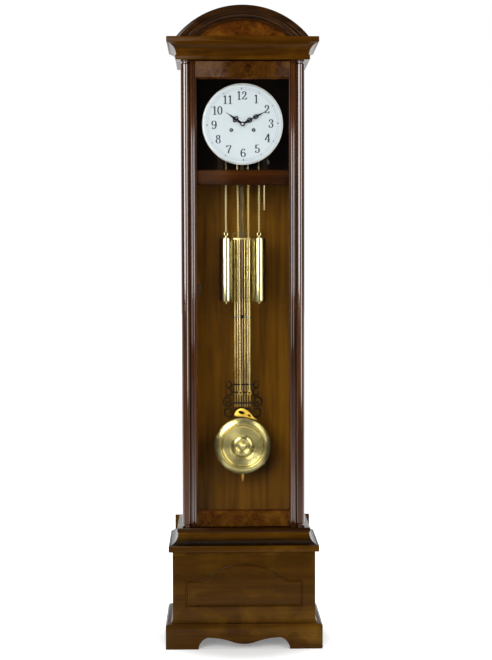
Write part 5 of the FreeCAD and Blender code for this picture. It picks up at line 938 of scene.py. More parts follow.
SIX = [(0.46, 0.86), (0.37, 0.97), (0.23, 0.94), (0.10, 0.72), (0.07, 0.42), (0.12, 0.13), (0.28, 0.015),
       (0.43, 0.10), (0.49, 0.30), (0.43, 0.50), (0.30, 0.57), (0.16, 0.50), (0.085, 0.36)]
FIGURE_LINES = {
    "0": [oval(0.29, 0.5, 0.20, 0.485)],
    "1": [[(0.28, 0.0), (0.28, 1.0)], [(0.10, 0.83), (0.20, 0.90), (0.28, 1.0)], [(0.10, 0.0), (0.46, 0.0)]],
    "2": [[(0.13, 0.74), (0.15, 0.88), (0.28, 0.985), (0.42, 0.90), (0.46, 0.72), (0.38, 0.50), (0.22, 0.28),
           (0.08, 0.05)], [(0.08, 0.05), (0.20, 0.10), (0.36, 0.03), (0.48, 0.06), (0.52, 0.24)]],
    "3": [[(0.13, 0.80), (0.18, 0.93), (0.29, 0.985), (0.42, 0.91), (0.44, 0.75), (0.38, 0.60), (0.24, 0.53)],
          [(0.24, 0.53), (0.40, 0.47), (0.47, 0.30), (0.42, 0.10), (0.28, 0.015), (0.14, 0.06),
           (0.10, 0.20)]],
    "4": [[(0.40, 0.0), (0.40, 1.0)], [(0.40, 1.0), (0.22, 0.64), (0.03, 0.27)], [(0.03, 0.27), (0.56, 0.27)],
          [(0.26, 0.0), (0.54, 0.0)]],
    "5": [[(0.15, 0.97), (0.30, 0.93), (0.46, 0.99)], [(0.15, 0.97), (0.12, 0.50)],
          [(0.12, 0.50), (0.26, 0.60), (0.40, 0.55), (0.47, 0.38), (0.45, 0.18), (0.36, 0.04), (0.24, 0.015),
           (0.13, 0.07), (0.10, 0.20)]],
    "6": [SIX],
    "7": [[(0.07, 0.76), (0.09, 0.95), (0.22, 0.92), (0.38, 0.97), (0.52, 0.96)],
          [(0.52, 0.96), (0.40, 0.66), (0.28, 0.34), (0.25, 0.02)]],
    "8": [oval(0.29, 0.765, 0.155, 0.22), oval(0.29, 0.275, 0.20, 0.26)],
    "9": [[(0.58 - x, 1.0 - y) for x, y in SIX]],
}
FIGURE_BALLS = {"2": [(0.15, 0.74)], "3": [(0.15, 0.79), (0.13, 0.21)], "5": [(0.13, 0.21)],
                "6": [(0.43, 0.85)], "9": [(0.15, 0.15)]}
FIGURE_ADVANCE, USUAL_ADVANCE = {"1": 0.52}, 0.58


def smooth_line(points, steps=8):
    """An open line that flows through its points. An oval is smooth already, two points stay straight."""
    points = np.asarray(points, float)
    if len(points) >= len(OVAL):
        return points
    if len(points) == 2:
        return np.linspace(points[0], points[-1], 6)
    ends = np.concatenate([[2 * points[0] - points[1]], points, [2 * points[-1] - points[-2]]])
    neighbours = (ends[i:len(ends) - 3 + i][:, None, :] for i in range(4))
    return np.concatenate([spline_through(*neighbours, steps), points[-1:]])


def dot(across, up, radius, steps=20):
    """A printed dot: a low dome on the dial."""
    dome = [(radius, -PRINT_SINK), (radius, PRINT_RISE * 0.6), (radius * 0.9, PRINT_RISE), (0.0, PRINT_RISE)]
    return lathe(dome, (across, DIAL_FACE, up), "viewer", steps)


def figure_parts(figure, across, up, height):
    """One printed figure with its lower left corner at a point of the dial."""
    parts = []
    for line in FIGURE_LINES[figure]:
        path = smooth_line(line) * height * (SPREAD, 1.0)
        ahead = np.gradient(path, axis=0)
        ahead /= np.linalg.norm(ahead, axis=1, keepdims=True)
        width = height * (PEN_THIN + (PEN_THICK - PEN_THIN) * np.abs(ahead[:, 1]) ** PEN_TURN)
        parts.append(wire(in_front(path + (across, up), DIAL_FACE), width / 2, PRINT_RISE, 4))
    for x, z in FIGURE_BALLS.get(figure, ()):
        parts.append(dot(across + x * height * SPREAD, up + z * height, BALL_SHARE * height))
    return parts


def dial_point(share, hours):
    """A place on the dial, at a share of its radius and in the direction of an hour."""
    turn = math.radians(hours * HOUR_DEGREES - DIAL_TURN)
    return (DIAL_X + share * DIAL_RADIUS * math.sin(turn), DIAL_Z + share * DIAL_RADIUS * math.cos(turn))


height = FIGURE_HEIGHT * DIAL_RADIUS
parts = []
for hour in range(1, 13):
    text = str(hour)
    advance = [FIGURE_ADVANCE.get(figure, USUAL_ADVANCE) * height * SPREAD for figure in text]
    x, z = dial_point(FIGURE_REACH, hour)
    x -= sum(advance) / 2
    for figure, step in zip(text, advance):
        parts += figure_parts(figure, x, z - height / 2, height)
        x += step
make_piece("hour_figures", *joined(parts), "case", INK)

# %% Minute dots and thin rings
DOT_REACH, DOT_RADIUS, HOUR_DOT_RADIUS, QUARTER_DOT_RADIUS = 0.89, 0.75, 1.5, 2.1
TRACK_SHARES, TRACK_HALF, TRACK_RISE = (0.868, 0.912), 0.5, 0.06
small, large = [], []
for minute in range(60):
    x, z = dial_point(DOT_REACH, minute / 5)
    if minute % 5:
        small.append(dot(x, z, DOT_RADIUS, steps=12))
    else:
        large.append(dot(x, z, HOUR_DOT_RADIUS if minute % 15 else QUARTER_DOT_RADIUS))
make_piece("hour_dots", *joined(large), "case", INK)
for share in TRACK_SHARES:
    inner, outer = share * DIAL_RADIUS - TRACK_HALF, share * DIAL_RADIUS + TRACK_HALF
    line = [(inner, -PRINT_SINK), (inner, TRACK_RISE), (outer, TRACK_RISE), (outer, -PRINT_SINK)]
    small.append(lathe(line, (DIAL_X, DIAL_FACE, DIAL_Z), "viewer", 160, closed=True))
make_piece("minute_track", *joined(small), "case", GREY_INK)

# %% [markdown]
# ## The hands
# The hands are pierced: thin black metal sawn into loops. The hour hand carries four small loops round a
# point, the minute hand two pairs along its stem. Each loop is a flat wire bent round, and the point of the
# hand is a long leaf.

# %% Hands
HUB_REACH, NECK_WIDTH, NECK_TIP, NECK_LAP, LEAF_ROOT = 6.5, 6.0, 0.5, 4.0, 0.35
BLADE_WIDTH, BLADE_TIP, LOOP_WIDTH, LEAF_THICKNESS, LOOP_THICKNESS = 6.6, 0.16, 3.7, 0.9, 0.85
HAND_BOSS = ((3.4, -0.5), (3.4, 0.5), (6.6, 0.5), (7.3, 0.2), (7.3, -0.2), (6.6, -0.5))


def slanted_oval(half, rise, turn):
    """An oval about the origin, leaning to the right by an angle."""
    lean = np.array([[math.cos(turn), -math.sin(turn)], [math.sin(turn), math.cos(turn)]])
    return ring_outline(0.0, 0.0, 1.0, 28) * (half, rise) @ lean


def loop(centre, radius, width, thickness, y, stretch, turn):
    """A closed flat ring in a plane that faces the viewer, stretched along its own direction."""
    path = slanted_oval(radius, radius * stretch, turn) + centre
    return wire(in_front(path, y), width / 2, thickness / 2, 8, closed=True)


def leaf(start, end, width, thickness, y, tip_share):
    """A long pointed blade from start to end, widest at a fifth of its length."""
    share = np.linspace(0, 1, 13)
    path = np.asarray(start) + (np.asarray(end) - start) * share[:, None]
    swell = np.sin(np.pi * np.minimum(share * 1.5, 1.0) ** 0.8)
    half = width / 2 * (LEAF_ROOT + (1 - LEAF_ROOT) * swell) * (1 - share)
    return wire(in_front(path, y), half + width * tip_share / 2, thickness / 2, 8)


def pierced_hand(name, node, body, loops):
    """A hand with a neck, a blade and loops. Each loop is (across, along, radius, stretch)."""
    low, high = span(node)
    away_x, away_z = (low[0] if abs(low[0]) > high[0] else high[0]), high[2] - DIAL_Z
    length = math.hypot(away_x, away_z)
    turn = math.atan2(away_x, away_z)
    ahead = np.array([math.sin(turn), math.cos(turn)])
    side = np.array([math.cos(turn), -math.sin(turn)])
    y, thickness = (low[1] + high[1]) / 2, high[1] - low[1]
    hub = np.array([DIAL_X, DIAL_Z])
    boss = [(radius, rise * thickness) for radius, rise in HAND_BOSS]
    root, flat, thin = loops[-1][1], thickness * LEAF_THICKNESS, thickness * LOOP_THICKNESS
    parts = [lathe(boss, (DIAL_X, y, DIAL_Z), "viewer", 64, closed=True),
             leaf(hub + ahead * HUB_REACH, hub + ahead * (root + NECK_LAP), NECK_WIDTH, flat, y, NECK_TIP),
             leaf(hub + ahead * root, hub + ahead * length, BLADE_WIDTH, flat, y, BLADE_TIP)]
    for across, reach, radius, stretch in loops:
        centre = hub + ahead * reach + side * across
        parts.append(loop(centre, radius, LOOP_WIDTH, thin, y, stretch, turn))
    make_piece(name, *joined(parts), body, BLACK, [node])


pierced_hand("pierced_hour_hand", "hour_hand", "hour_pipe",
             [(0.0, 20.4, 3.0, 1.1), (-5.2, 26.2, 3.9, 1.0), (5.2, 26.2, 3.9, 1.0), (0.0, 32.0, 3.2, 1.3)])
pierced_hand("pierced_minute_hand", "minute_hand", "centre_arbor",
             [(-3.2, 25.0, 2.7, 2.2), (3.2, 25.0, 2.7, 2.2), (-2.9, 47.0, 2.4, 2.6), (2.9, 47.0, 2.4, 2.6)])
low, high = span("hand_nut")
nut = [(0.0, 0.0), (1.6, 0.0), (3.9, 0.0), (3.9, 0.9), (3.5, 1.7), (2.4, 2.6), (1.0, 3.0), (0.0, 3.0)]
make_piece("hand_cap", *lathe(nut, (DIAL_X, high[1], DIAL_Z), "viewer", 48), "centre_arbor", PALE,
           ["hand_nut"])

# %% [markdown]
# ## Chains and weights
# A chain is bent wire: every link is an oval, and the next one hangs in it a quarter turn round. One link is
# made as an array and repeated down the line, from the top of the chain's solid to its foot.

# %% Chains
LINK_PITCH, WIRE_RADIUS, LINK_HALF, LINK_POINTS, LINK_SIDES = 5.5, 0.62, 2.1, 10, 5
CHAIN_LAP, CHAIN_WHEEL_RADIUS, END_RING_WIRE = 1.0, 17.5, 1.1


def chain_links(top, bottom):
    """Links from a top point to a bottom point, every second one a quarter turn round."""
    top, bottom = np.asarray(top, float), np.asarray(bottom, float)
    length = np.linalg.norm(bottom - top)
    count = max(int(round(length / LINK_PITCH)), 1)
    pitch = length / count
    rise = (pitch + 2 * WIRE_RADIUS) / 2 - LINK_HALF
    turn = np.arange(LINK_POINTS) / LINK_POINTS * 2 * math.pi
    oval_path = np.stack([LINK_HALF * np.cos(turn), LINK_HALF * np.sin(turn) + np.sign(np.sin(turn)) * rise],
                         axis=-1)
    oval_path[np.abs(np.sin(turn)) < 1e-6, 1] = 0.0
    link, faces = wire(in_front(oval_path, 0.0), WIRE_RADIUS, WIRE_RADIUS, LINK_SIDES, closed=True)
    turned = link[:, [1, 0, 2]] * (1, -1, 1)
    index = np.arange(count)
    down = (bottom - top) / length
    shift = top + down * ((index + 0.5) * pitch)[:, None]
    lean = np.array([[1, 0, -down[0]], [0, 1, 0], [down[0], 0, 1]])
    shapes = np.where((index % 2 == 0)[:, None, None], (link @ lean)[None], (turned @ lean)[None])
    points = (shapes + shift[:, None, :]).reshape(-1, 3)
    all_faces = (np.asarray(faces)[None] + (index * len(link))[:, None, None]).reshape(-1, 4)
    return points, all_faces


for side in ("time", "strike"):
    low, high = span(side + "_weight_chain")
    top = ((low[0] + high[0]) / 2, (low[1] + high[1]) / 2, high[2] - CHAIN_LAP)
    bottom = (top[0], top[1], low[2] + CHAIN_LAP)
    piece = make_piece(side + "_weight_links", *chain_links(top, bottom), None, BRASS_CHAIN)
    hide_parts(side + "_weight_chain")
    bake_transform(piece)
    low, high = span(side + "_free_chain")
    ring_low, ring_high = span(side + "_chain_end")
    foot_x = (ring_low[0] + ring_high[0]) / 2
    top_x = CHAIN_WHEEL_RADIUS if side == "time" else -CHAIN_WHEEL_RADIUS
    top = (top_x, (low[1] + high[1]) / 2, high[2] - CHAIN_LAP)
    bottom = (foot_x, top[1], low[2] + CHAIN_LAP)
    piece = make_piece(side + "_free_links", *chain_links(top, bottom), None, BRASS_CHAIN)
    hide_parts(side + "_free_chain")
    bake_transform(piece)
    ring_z = (ring_low[2] + ring_high[2]) / 2
    ring_radius = (ring_high[2] - ring_low[2]) / 2 - END_RING_WIRE
    ring_path = in_front(ring_outline(foot_x, ring_z, ring_radius, 40), top[1])
    make_piece(side + "_end_ring", *wire(ring_path, END_RING_WIRE, END_RING_WIRE, 12, closed=True),
               side + "_chain_end", BRASS_YELLOW, [side + "_chain_end"])

# %% Weights
WEIGHT_RADIUS, HOOK_REACH, HOOK_WIRE, KNOB_RISE, HANGER_RISE = 22.0, 5.2, 1.2, 8.0, 17.8
WEIGHT_FOOT = [(0.0, 0.0), (1.6, 0.35), (3.0, 1.4), (3.8, 3.0), (3.9, 4.6), (3.2, 6.2), (2.2, 7.2),
               (3.2, KNOB_RISE), (18.6, 8.4), (19.6, 8.9), (20.0, 9.8), (20.0, 11.6), (20.6, 12.0),
               (21.4, 12.2), (21.9, 12.7), (WEIGHT_RADIUS, 13.6)]
WEIGHT_NECK = [(3.0, 0.4), (3.0, 4.4), (2.2, 5.6), (0.0, 5.8)]
for side in ("time", "strike"):
    low, high = span(side + "_weight")
    x, y = (low[0] + high[0]) / 2, (low[1] + high[1]) / 2
    cap = high[2] - low[2] - HANGER_RISE
    head = [(radius, cap + KNOB_RISE - height) for radius, height in WEIGHT_FOOT[:6:-1]]
    head += [(radius, cap + height) for radius, height in WEIGHT_NECK]
    foot_edge = WEIGHT_FOOT[-1][1]
    middle = [(WEIGHT_RADIUS, foot_edge + share * (head[0][1] - foot_edge)) for share in (0.25, 0.5, 0.75)]
    turned = lathe(WEIGHT_FOOT + middle + head, (x, y, low[2]), segments=96)
    hook_path = in_front(ring_outline(x, high[2] - HOOK_REACH - HOOK_WIRE, HOOK_REACH, 40), y)
    hook = wire(hook_path, HOOK_WIRE, HOOK_WIRE, 12, closed=True)
    make_piece(side + "_brass_weight", *joined([turned, hook]), side + "_weight", BRASS_WEIGHT,
               [side + "_weight"])

# %% [markdown]
# ## The lyre pendulum
# Seven thin rods hang between two bars and form the lyre. Sawn scrollwork dresses its foot, and a bright
# pierced crescent lies over the round bob. The scrolls are flat wires bent along arcs with a small ball at
# each free end.

# %% Rods
low, high = span("lyre_rods")
ROD_DEPTH, ROD_RADIUS, ROD_PITCH, ROD_COUNT = 2.1, 1.75, 8.0, 7
rod_y, length = high[1] - ROD_DEPTH, high[2] - low[2]
rod_end = [(0.0, 0.0), (1.0, 0.1), (1.5, 0.5), (ROD_RADIUS, 1.3)]
rod = (rod_end + [(ROD_RADIUS, length * 0.33), (ROD_RADIUS, length * 0.66)]
       + [(radius, length - height) for radius, height in rod_end[::-1]])
side_places = [step * ROD_PITCH for step in range(-ROD_COUNT // 2 + 1, ROD_COUNT // 2 + 1) if step != 0]
outer = [lathe(rod, (across, rod_y, low[2]), segments=20) for across in side_places]
make_piece("lyre_side_rods", *joined(outer), "pendulum", BRASS_ROD, ["lyre_rods"])
make_piece("lyre_middle_rod", *lathe(rod, (0.0, rod_y, low[2]), segments=20), "pendulum", COPPER)

# %% Clamp across the rods
CLAMP_Z, CLAMP_HALF, CLAMP_RISE, CLAMP_DEPTH, BAR_EASE = 1028.5, 32.0, 5.0, 2.0, 0.6
clamp_back = rod_y - ROD_DEPTH
clamp_front, clamp_middle = clamp_back - CLAMP_DEPTH, CLAMP_Z + CLAMP_RISE / 2
boss = [(0.0, 3.4), (2.5, 3.2), (4.6, 2.4), (5.8, 1.0), (6.2, 0.0), (0.0, 0.0)]
clamp = [block((-CLAMP_HALF, clamp_front, CLAMP_Z), (CLAMP_HALF, clamp_back, CLAMP_Z + CLAMP_RISE), BAR_EASE),
         lathe(boss, (0.0, clamp_front, clamp_middle), "viewer", 32)]
make_piece("rod_clamp", *joined(clamp), "pendulum", BRASS_DARK_REFLECTION)
knob = [(0.0, 2.6), (1.3, 2.3), (2.1, 1.5), (2.4, 0.6), (2.4, 0.0), (0.0, 0.0)]
knobs = [lathe(knob, (across, clamp_front, clamp_middle), "viewer", 20) for across in side_places]
make_piece("clamp_knobs", *joined(knobs), "pendulum", PALE)

# %% Measures of the scrollwork
low, high = span("lyre_frame")
FRAME_HALF, BAR_RISE, THIN_EASE = 1.0, 5.0, 0.5
frame_front, frame_middle, frame_back = low[1], low[1] + FRAME_HALF, low[1] + 2 * FRAME_HALF
LEVEL_TOP, LEVEL_UPPER, LEVEL_CROSS, LEVEL_LOW, REACH = 1279.2, 810.0, 784.5, 750.0, 60.0
TOP_BAR_HALF, UPPER_BAR_HALF, LOW_BAR_HALF = 29.0, 35.5, 41.0
SCROLL_WIDTH, HEAD_SCROLL_WIDTH, SCROLL_WINDS, SCROLL_THIN, BUTTON = 5.2, 3.0, 1.35, 0.55, 0.52
TIGHTENS_FROM, TIGHTENS_BY, LONG_SWEEP = 0.55, 0.55, 100
# Each scroll: place across and up and radius as shares of REACH, start and sweep in degrees. A sweep longer
# than LONG_SWEEP winds in towards its end.
FOOT_SCROLLS = ((0.767, 0.033, 0.183, 60, 230), (0.767, -0.383, 0.200, 80, 200),
                (0.742, -0.883, 0.292, -75, 165), (0.767, -1.025, 0.133, 0, 280),
                (0.733, -1.450, 0.250, -180, 270), (0.275, -1.467, 0.208, 0, 180))
HEAD_SCROLLS = ((0.360, 0.190, 0.170, -90, 250),)
CRESCENT = ((-0.44, -0.60), (-0.33, -0.40), (-0.16, -0.27), (0.02, -0.26), (0.18, -0.33), (0.34, -0.46),
            (0.49, -0.60), (0.64, -0.78), (0.79, -0.87), (0.60, -0.835), (0.43, -0.785), (0.20, -0.735),
            (0.02, -0.70), (-0.20, -0.69), (-0.36, -0.67))
CRESCENT_EYES = ((-0.06, -0.475, 0.175, 0.085, -20.0), (0.36, -0.645, 0.100, 0.060, -42.0))


# %% Scrolls, bars, stem and screw
def ball(x, y, z, radius, squash=1.0):
    """A ball, or a flatter button, that faces the viewer."""
    turn = np.linspace(-math.pi / 2, math.pi / 2, 9)
    outline = np.stack([radius * np.cos(turn), radius * squash * np.sin(turn)], axis=-1)
    return lathe(outline, (x, y, z), "viewer", 16)


def scroll_parts(table, level, width):
    """Flat scrolls and their mirror twins. A button closes the free end."""
    share = np.linspace(0, 1, 33)
    half = width / 2 * (SCROLL_THIN + (1 - SCROLL_THIN) * np.sin(np.pi * share))
    tight = TIGHTENS_BY * np.maximum(share - TIGHTENS_FROM, 0) / (1 - TIGHTENS_FROM)
    parts = []
    for across, up, radius, start, sweep in table:
        turn = np.radians(start + sweep * SCROLL_WINDS * share)
        reach = REACH * radius * (1 - tight * (sweep > LONG_SWEEP))
        centre = (across * REACH, up * REACH + level)
        right = np.stack([reach * np.cos(turn), reach * np.sin(turn)], axis=-1) + centre
        for path in (right * (-1, 1), right):
            parts.append(wire(in_front(path, frame_middle), half, FRAME_HALF, 8))
            parts.append(ball(path[-1, 0], frame_middle, path[-1, 1], width * BUTTON, 0.5))
    return parts


def bar(half_width, level, ease):
    """A level bar of the frame."""
    return block((-half_width, frame_front, level), (half_width, frame_back, level + BAR_RISE), ease)


STEM_HALF, STEM_FRONT, STEM_BACK, STEM_HIGH = 4.0, 49.0, 52.6, 739.7
SCREW_RADIUS, SCREW_LENGTH, THREAD_DEPTH, THREAD_STEP, STEM_MIDDLE = 1.5, 32.0, 0.12, 0.8, 50.8
parts = scroll_parts(FOOT_SCROLLS, LEVEL_UPPER, SCROLL_WIDTH)
stem_low = low[2] + SCREW_LENGTH
parts += [bar(UPPER_BAR_HALF, LEVEL_UPPER, THIN_EASE), bar(UPPER_BAR_HALF, LEVEL_CROSS, THIN_EASE),
          bar(LOW_BAR_HALF, LEVEL_LOW, THIN_EASE),
          block((-STEM_HALF, STEM_FRONT, stem_low), (STEM_HALF, STEM_BACK, STEM_HIGH), THIN_EASE)]
make_piece("lyre_scrolls", *joined(parts), "pendulum", BRASS_DARK_REFLECTION, ["lyre_frame"])
thread = [(SCREW_RADIUS + THREAD_DEPTH * (index % 2), THREAD_STEP * index) for index in range(40)]
screw = [(0.0, 0.0)] + thread + [(SCREW_RADIUS, SCREW_LENGTH), (0.0, SCREW_LENGTH)]
parts = [bar(TOP_BAR_HALF, LEVEL_TOP, BAR_EASE), lathe(screw, (0.0, STEM_MIDDLE, low[2]), segments=20)]
make_piece("lyre_bars", *joined(parts), "pendulum", BRASS)
make_piece("lyre_head_scrolls", *joined(scroll_parts(HEAD_SCROLLS, LEVEL_TOP, HEAD_SCROLL_WIDTH)), "pendulum",
           LEADER_DARK_REFLECTION)

# %% Beads and crescent
BEAD_ROWS = ((LEVEL_UPPER, 33.0, 12, 1.5), (LEVEL_CROSS, 33.0, 12, 1.5), (LEVEL_LOW, 38.0, 15, 1.7))
BEAD_LIFT, CRESCENT_LIFT = 0.1, 0.6
beads = [ball(x, frame_front - BEAD_LIFT, level + BAR_RISE / 2, radius)
         for level, half_row, count, radius in BEAD_ROWS for x in np.linspace(-half_row, half_row, count)]
make_piece("lyre_beads", *joined(beads), "pendulum", BRASS_DARK_REFLECTION)
crescent = np.asarray(CRESCENT) * REACH + (0, LEVEL_LOW)
eyes = [slanted_oval(half * REACH, rise * REACH, -math.radians(slant)) + (x * REACH, z * REACH + LEVEL_LOW)
        for x, z, half, rise, slant in CRESCENT_EYES]
make_piece("lyre_crescent", *plank([flowing(crescent, 6)] + eyes, frame_front - CRESCENT_LIFT, frame_back,
                                   THIN_EASE), "pendulum", BRASS_YELLOW)

# %% [markdown]
# ## The bob
# The bob is a turned brass disc with a raised bead at its rim, a flat field, two grooves and a low boss with
# a dome. The lathe leaves fine rings, so its gloss runs round in bright sectors like the light on a record.

# %% Bob and rating nut
low, high = span("bob")
BOB_FACE, BOB_BACK = 39.5, 47.5
DOME_RADIUS, DOME_SEAT, BACK_LEVEL = 15.0, -6.0, -8.0
dome_profile = [(0.0, 4.6), (4.0, 4.3), (7.6, 3.3), (10.6, 1.7), (12.8, -0.4), (14.2, -2.4),
                (DOME_RADIUS, -2.9), (DOME_RADIUS, DOME_SEAT), (0.0, DOME_SEAT)]
bob_profile = [(0.0, DOME_SEAT), (15.2, DOME_SEAT), (15.2, -2.9), (16.6, -2.5), (18.4, -0.8), (21.0, 0.9),
               (24.4, 1.5), (28.0, 0.8), (31.6, -1.0), (34.6, -3.2), (36.6, -5.2), (37.8, -6.2), (38.8, -6.2),
               (39.6, -5.4), (40.6, -5.2), (50.0, -4.8), (60.0, -4.2), (61.4, -4.0), (62.6, -3.0),
               (64.0, -2.6), (65.0, -3.2), (67.2, -6.4), (69.4, -2.4), (70.2, -1.2), (72.0, -0.6),
               (78.0, -1.6), (84.0, -3.6), (88.0, -5.4), (90.2, -6.6), (91.0, -7.2), (91.0, BACK_LEVEL),
               (88.8, BACK_LEVEL), (0.0, BACK_LEVEL)]
bob_place = ((low[0] + high[0]) / 2, BOB_FACE, (low[2] + high[2]) / 2)
make_piece("bob_dome", *lathe(dome_profile, bob_place, "viewer", 96), "bob", BRASS_DOME)
GUIDE_INNER, GUIDE_OUTER, GUIDE_BRIDGE, GUIDE_BACK, GUIDE_HALF, GUIDE_EASE = 4.4, 7.4, 53.0, 56.0, 15.0, 0.3
parts = [lathe(bob_profile, bob_place, "viewer", 192)]
for start, end, front in ((-GUIDE_OUTER, -GUIDE_INNER, BOB_BACK), (GUIDE_INNER, GUIDE_OUTER, BOB_BACK),
                          (-GUIDE_INNER, GUIDE_INNER, GUIDE_BRIDGE)):
    foot, top = bob_place[2] - GUIDE_HALF, bob_place[2] + GUIDE_HALF
    parts.append(block((start, front, foot), (end, GUIDE_BACK, top), GUIDE_EASE))
make_piece("turned_bob", *joined(parts), "bob", BRASS_BOB, ["bob"])

# %% Knurled rating nut
low, high = span("rating_nut")
KNURL_RADIUS, KNURL_DEPTH, KNURL_STEPS, NUT_BORE = 4.1, 0.28, 96, 1.8
rise = high[2] - low[2]
turn = np.arange(KNURL_STEPS) / KNURL_STEPS * 2 * math.pi
ahead = np.stack([np.cos(turn), np.sin(turn), np.zeros(KNURL_STEPS)], axis=-1)
knurled = np.where(np.arange(KNURL_STEPS) % 4 < 2, KNURL_RADIUS, KNURL_RADIUS - KNURL_DEPTH)[:, None]
levels = ((NUT_BORE, 0.0), (3.2, 0.0), (knurled, 0.8), (knurled, rise - 3.4), (3.0, rise - 2.8), (2.6, rise),
          (NUT_BORE, rise))
rings = [radius * ahead + (0.0, STEM_MIDDLE, low[2] + height) for radius, height in levels]
make_piece("knurled_nut", np.concatenate(rings), grid_faces(len(rings), KNURL_STEPS, loop=True), "rating_nut",
           BRASS_YELLOW, ["rating_nut"])

# %% [markdown]
# ## The gong
# The gong is a straight steel rod in an iron block, and a wooden pad holds the block on the back.

# %% Gong rod, block and pad
low, high = span("rod_gong")
GONG_X, GONG_BLOCK_RISE, GONG_BLOCK_DEPTH, GONG_ROD = 71.0, 26.0, 22.0, 2.5
GONG_BLOCK_HALF, GONG_PAD_HALF, GONG_BLOCK_EASE, GONG_PAD_EASE = 15.0, 22.0, 1.0, 0.6
gong_foot, block_back = high[2] - GONG_BLOCK_RISE, low[1] + GONG_BLOCK_DEPTH
rod = [(0.0, 0.0), (1.7, 0.2), (2.3, 0.8), (GONG_ROD, 1.6), (GONG_ROD, gong_foot - low[2]),
       (0.0, gong_foot - low[2])]
make_piece("gong_rod", *lathe(rod, (GONG_X, low[1] + 2 * GONG_ROD, low[2]), segments=24), "case", GONG_STEEL,
           ["rod_gong"])
for name, half, front, back, ease, finish in (
        ("gong_block", GONG_BLOCK_HALF, low[1], block_back, GONG_BLOCK_EASE, IRON),
        ("gong_pad", GONG_PAD_HALF, block_back, high[1], GONG_PAD_EASE, PLAIN)):
    board = block((GONG_X - half, front, gong_foot), (GONG_X + half, back, high[2]), ease)
    make_piece(name, *board, "case", finish)

# %% [markdown]
# ## Finishes for the solids that stay
# Flat boards, wheels and plates are right as they are. Each only gets its finish.

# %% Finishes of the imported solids
SLOT_FINISH = {"walnut": WALNUT_UP, "burl": BURL_BRIGHT, "plain_wood": PLAIN, "glass": GLASS,
               "steel": STEEL, "dial_white": ENAMEL, "pale_metal": PALE, "black_metal": BLACK,
               "brass": BRASS, "cast_iron": IRON}
NODE_FINISH = {"back_panel": PANEL, "trunk_sides": RED_BEAD, "corner_posts": RED_BEAD,
               "door_fittings": CATCH_BROWN, "pendulum_leader": LEADER_DARK_REFLECTION}
for name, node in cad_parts.items():
    for holder in node.material_slots:
        slot_name = holder.material.name.split(".")[0] if holder.material else ""
        finish = NODE_FINISH.get(name, SLOT_FINISH.get(slot_name))
        if finish:
            holder.material = finish
print("finishes set")

# %% [markdown]
# ## Studio
# The clock stands on a pale floor in front of white. Two large soft boxes stand in front of it, to the left
# and to the right, and draw the long upright lights on columns and weights. A broad weak light fills from
# above.

# %% Floor
FLOOR_REACH, FLOOR_DARK, FLOOR_LIGHT = 30, (0.90, 0.90, 0.90, 1), (0.94, 0.94, 0.94, 1)
FRONT_GREY = (0.20, 0.20, 0.20, 1)
FRONT_START, FRONT_END = -1.4, -0.5
GLOW_NEAR, GLOW_FAR, GLOW_LOW, GLOW_HIGH = 0.18, 0.38, 0.22, 0.88
# The floor is painted light: it glows weakly within a few tenths of a metre of the clock, a painted shade
# round its foot, and strongly further out, so that it fades into the white. For bounced light and reflections
# the floor in front of the clock is dark grey; the camera sees it pale.
floor_mesh = bpy.data.meshes.new("floor")
floor_corners = [(x * FLOOR_REACH, y * FLOOR_REACH, 0) for x, y in ((-1, -1), (1, -1), (1, 1), (-1, 1))]
floor_mesh.from_pydata(floor_corners, [], [(0, 1, 2, 3)])
floor = bpy.data.objects.new("floor", floor_mesh)
bpy.context.scene.collection.objects.link(floor)
pale_floor, tree, shader, point = new_finish("pale_floor", "stage", Roughness=0.75,
                                             Emission_Color=(1.0, 1.0, 1.0, 1))
pale = blend_colour(tree, noise(tree, point, 2.0, 2.0), FLOOR_DARK, FLOOR_LIGHT)
place = add_node(tree, "ShaderNodeSeparateXYZ", {"Vector": point})
away = add_node(tree, "ShaderNodeVectorMath", {0: point}, operation="LENGTH").outputs["Value"]
seen = tree.nodes.new("ShaderNodeLightPath").outputs["Is Camera Ray"]
near_front = multiply(tree, ramp(tree, place.outputs["Y"], FRONT_START, FRONT_END), seen, "MAXIMUM")
painted_floor_light = multiply(tree, ramp(tree, away, GLOW_NEAR, GLOW_FAR, GLOW_LOW, GLOW_HIGH), near_front)
tree.links.new(painted_floor_light, shader.inputs["Emission Strength"])
tree.links.new(blend_colour(tree, near_front, FRONT_GREY, pale), shader.inputs["Base Color"])
floor_mesh.materials.append(pale_floor)

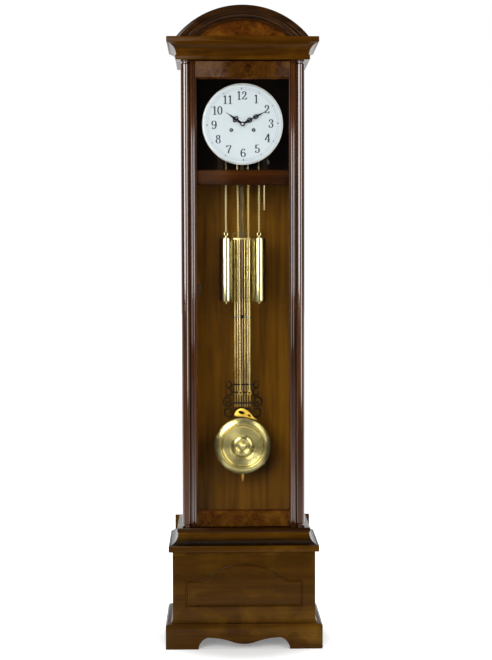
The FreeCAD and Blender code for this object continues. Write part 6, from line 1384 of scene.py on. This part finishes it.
# %% White surroundings, dim behind the viewer
FRONT_WORLD, WORLD_TURN = 0.08, 0.9
scene = bpy.context.scene
world = bpy.data.worlds.new("studio")
world.use_nodes = True
sky = world.node_tree
background = sky.nodes["Background"]
background.inputs["Color"].default_value = (1.0, 1.0, 1.0, 1)
heading = add_node(sky, "ShaderNodeSeparateXYZ",
                   {"Vector": sky.nodes.new("ShaderNodeTexCoord").outputs["Generated"]})
brightness = multiply(sky, ramp(sky, heading.outputs["Y"], 0.0, WORLD_TURN, FRONT_WORLD, 1.0),
                      sky.nodes.new("ShaderNodeLightPath").outputs["Is Camera Ray"], "MAXIMUM")
sky.links.new(brightness, background.inputs["Strength"])
scene.world = world

# %% Soft boxes
def soft_box(name, place, aim, size, power, colour=(1.0, 1.0, 1.0)):
    """A rectangular light at a place, aimed at a point of the clock."""
    light = bpy.data.lights.new(name, "AREA")
    light.shape = "RECTANGLE"
    light.size, light.size_y = size
    light.energy = power
    light.color = colour
    lamp = bpy.data.objects.new(name, light)
    lamp.location = place
    lamp.rotation_euler = (Vector(aim) - Vector(place)).to_track_quat("-Z", "Y").to_euler()
    scene.collection.objects.link(lamp)


soft_box("left_box", (-1.4, -3.45, 2.0), (0.0, 0.0, 1.15), (1.8, 2.0), 92)
soft_box("right_box", (2.0, -2.9, 1.65), (0.0, 0.0, 1.05), (1.7, 2.5), 56, (1.0, 0.97, 0.94))
soft_box("top_box", (0.0, -0.6, 4.2), (0.0, 0.0, 1.0), (3.0, 2.0), 30)

# %% Camera at the eye of the photograph
CAMERA_PLACE, YAW, PITCH, ROLL = (-0.0882, -4.5303, 1.2003), 1.25, -2.65, -0.14
LENS, SENSOR = 77.56, 36.0
yaw, pitch, roll = (math.radians(angle) for angle in (YAW, PITCH, ROLL))
ahead = Vector((math.sin(yaw) * math.cos(pitch), math.cos(yaw) * math.cos(pitch), math.sin(pitch)))
level_right = Vector((math.cos(yaw), -math.sin(yaw), 0.0))
level_up = level_right.cross(ahead)
right = level_right * math.cos(roll) + level_up * math.sin(roll)
upward = level_up * math.cos(roll) - level_right * math.sin(roll)
camera_data = bpy.data.cameras.new("camera")
camera_data.sensor_fit = "AUTO"
camera_data.sensor_width = SENSOR
camera_data.lens = LENS
camera_data.dof.use_dof = False
camera = bpy.data.objects.new("camera", camera_data)
camera.matrix_world = Matrix.Translation(CAMERA_PLACE) @ Matrix((right, upward, -ahead)).transposed().to_4x4()
scene.collection.objects.link(camera)
scene.camera = camera
scene.view_settings.view_transform = "Standard"
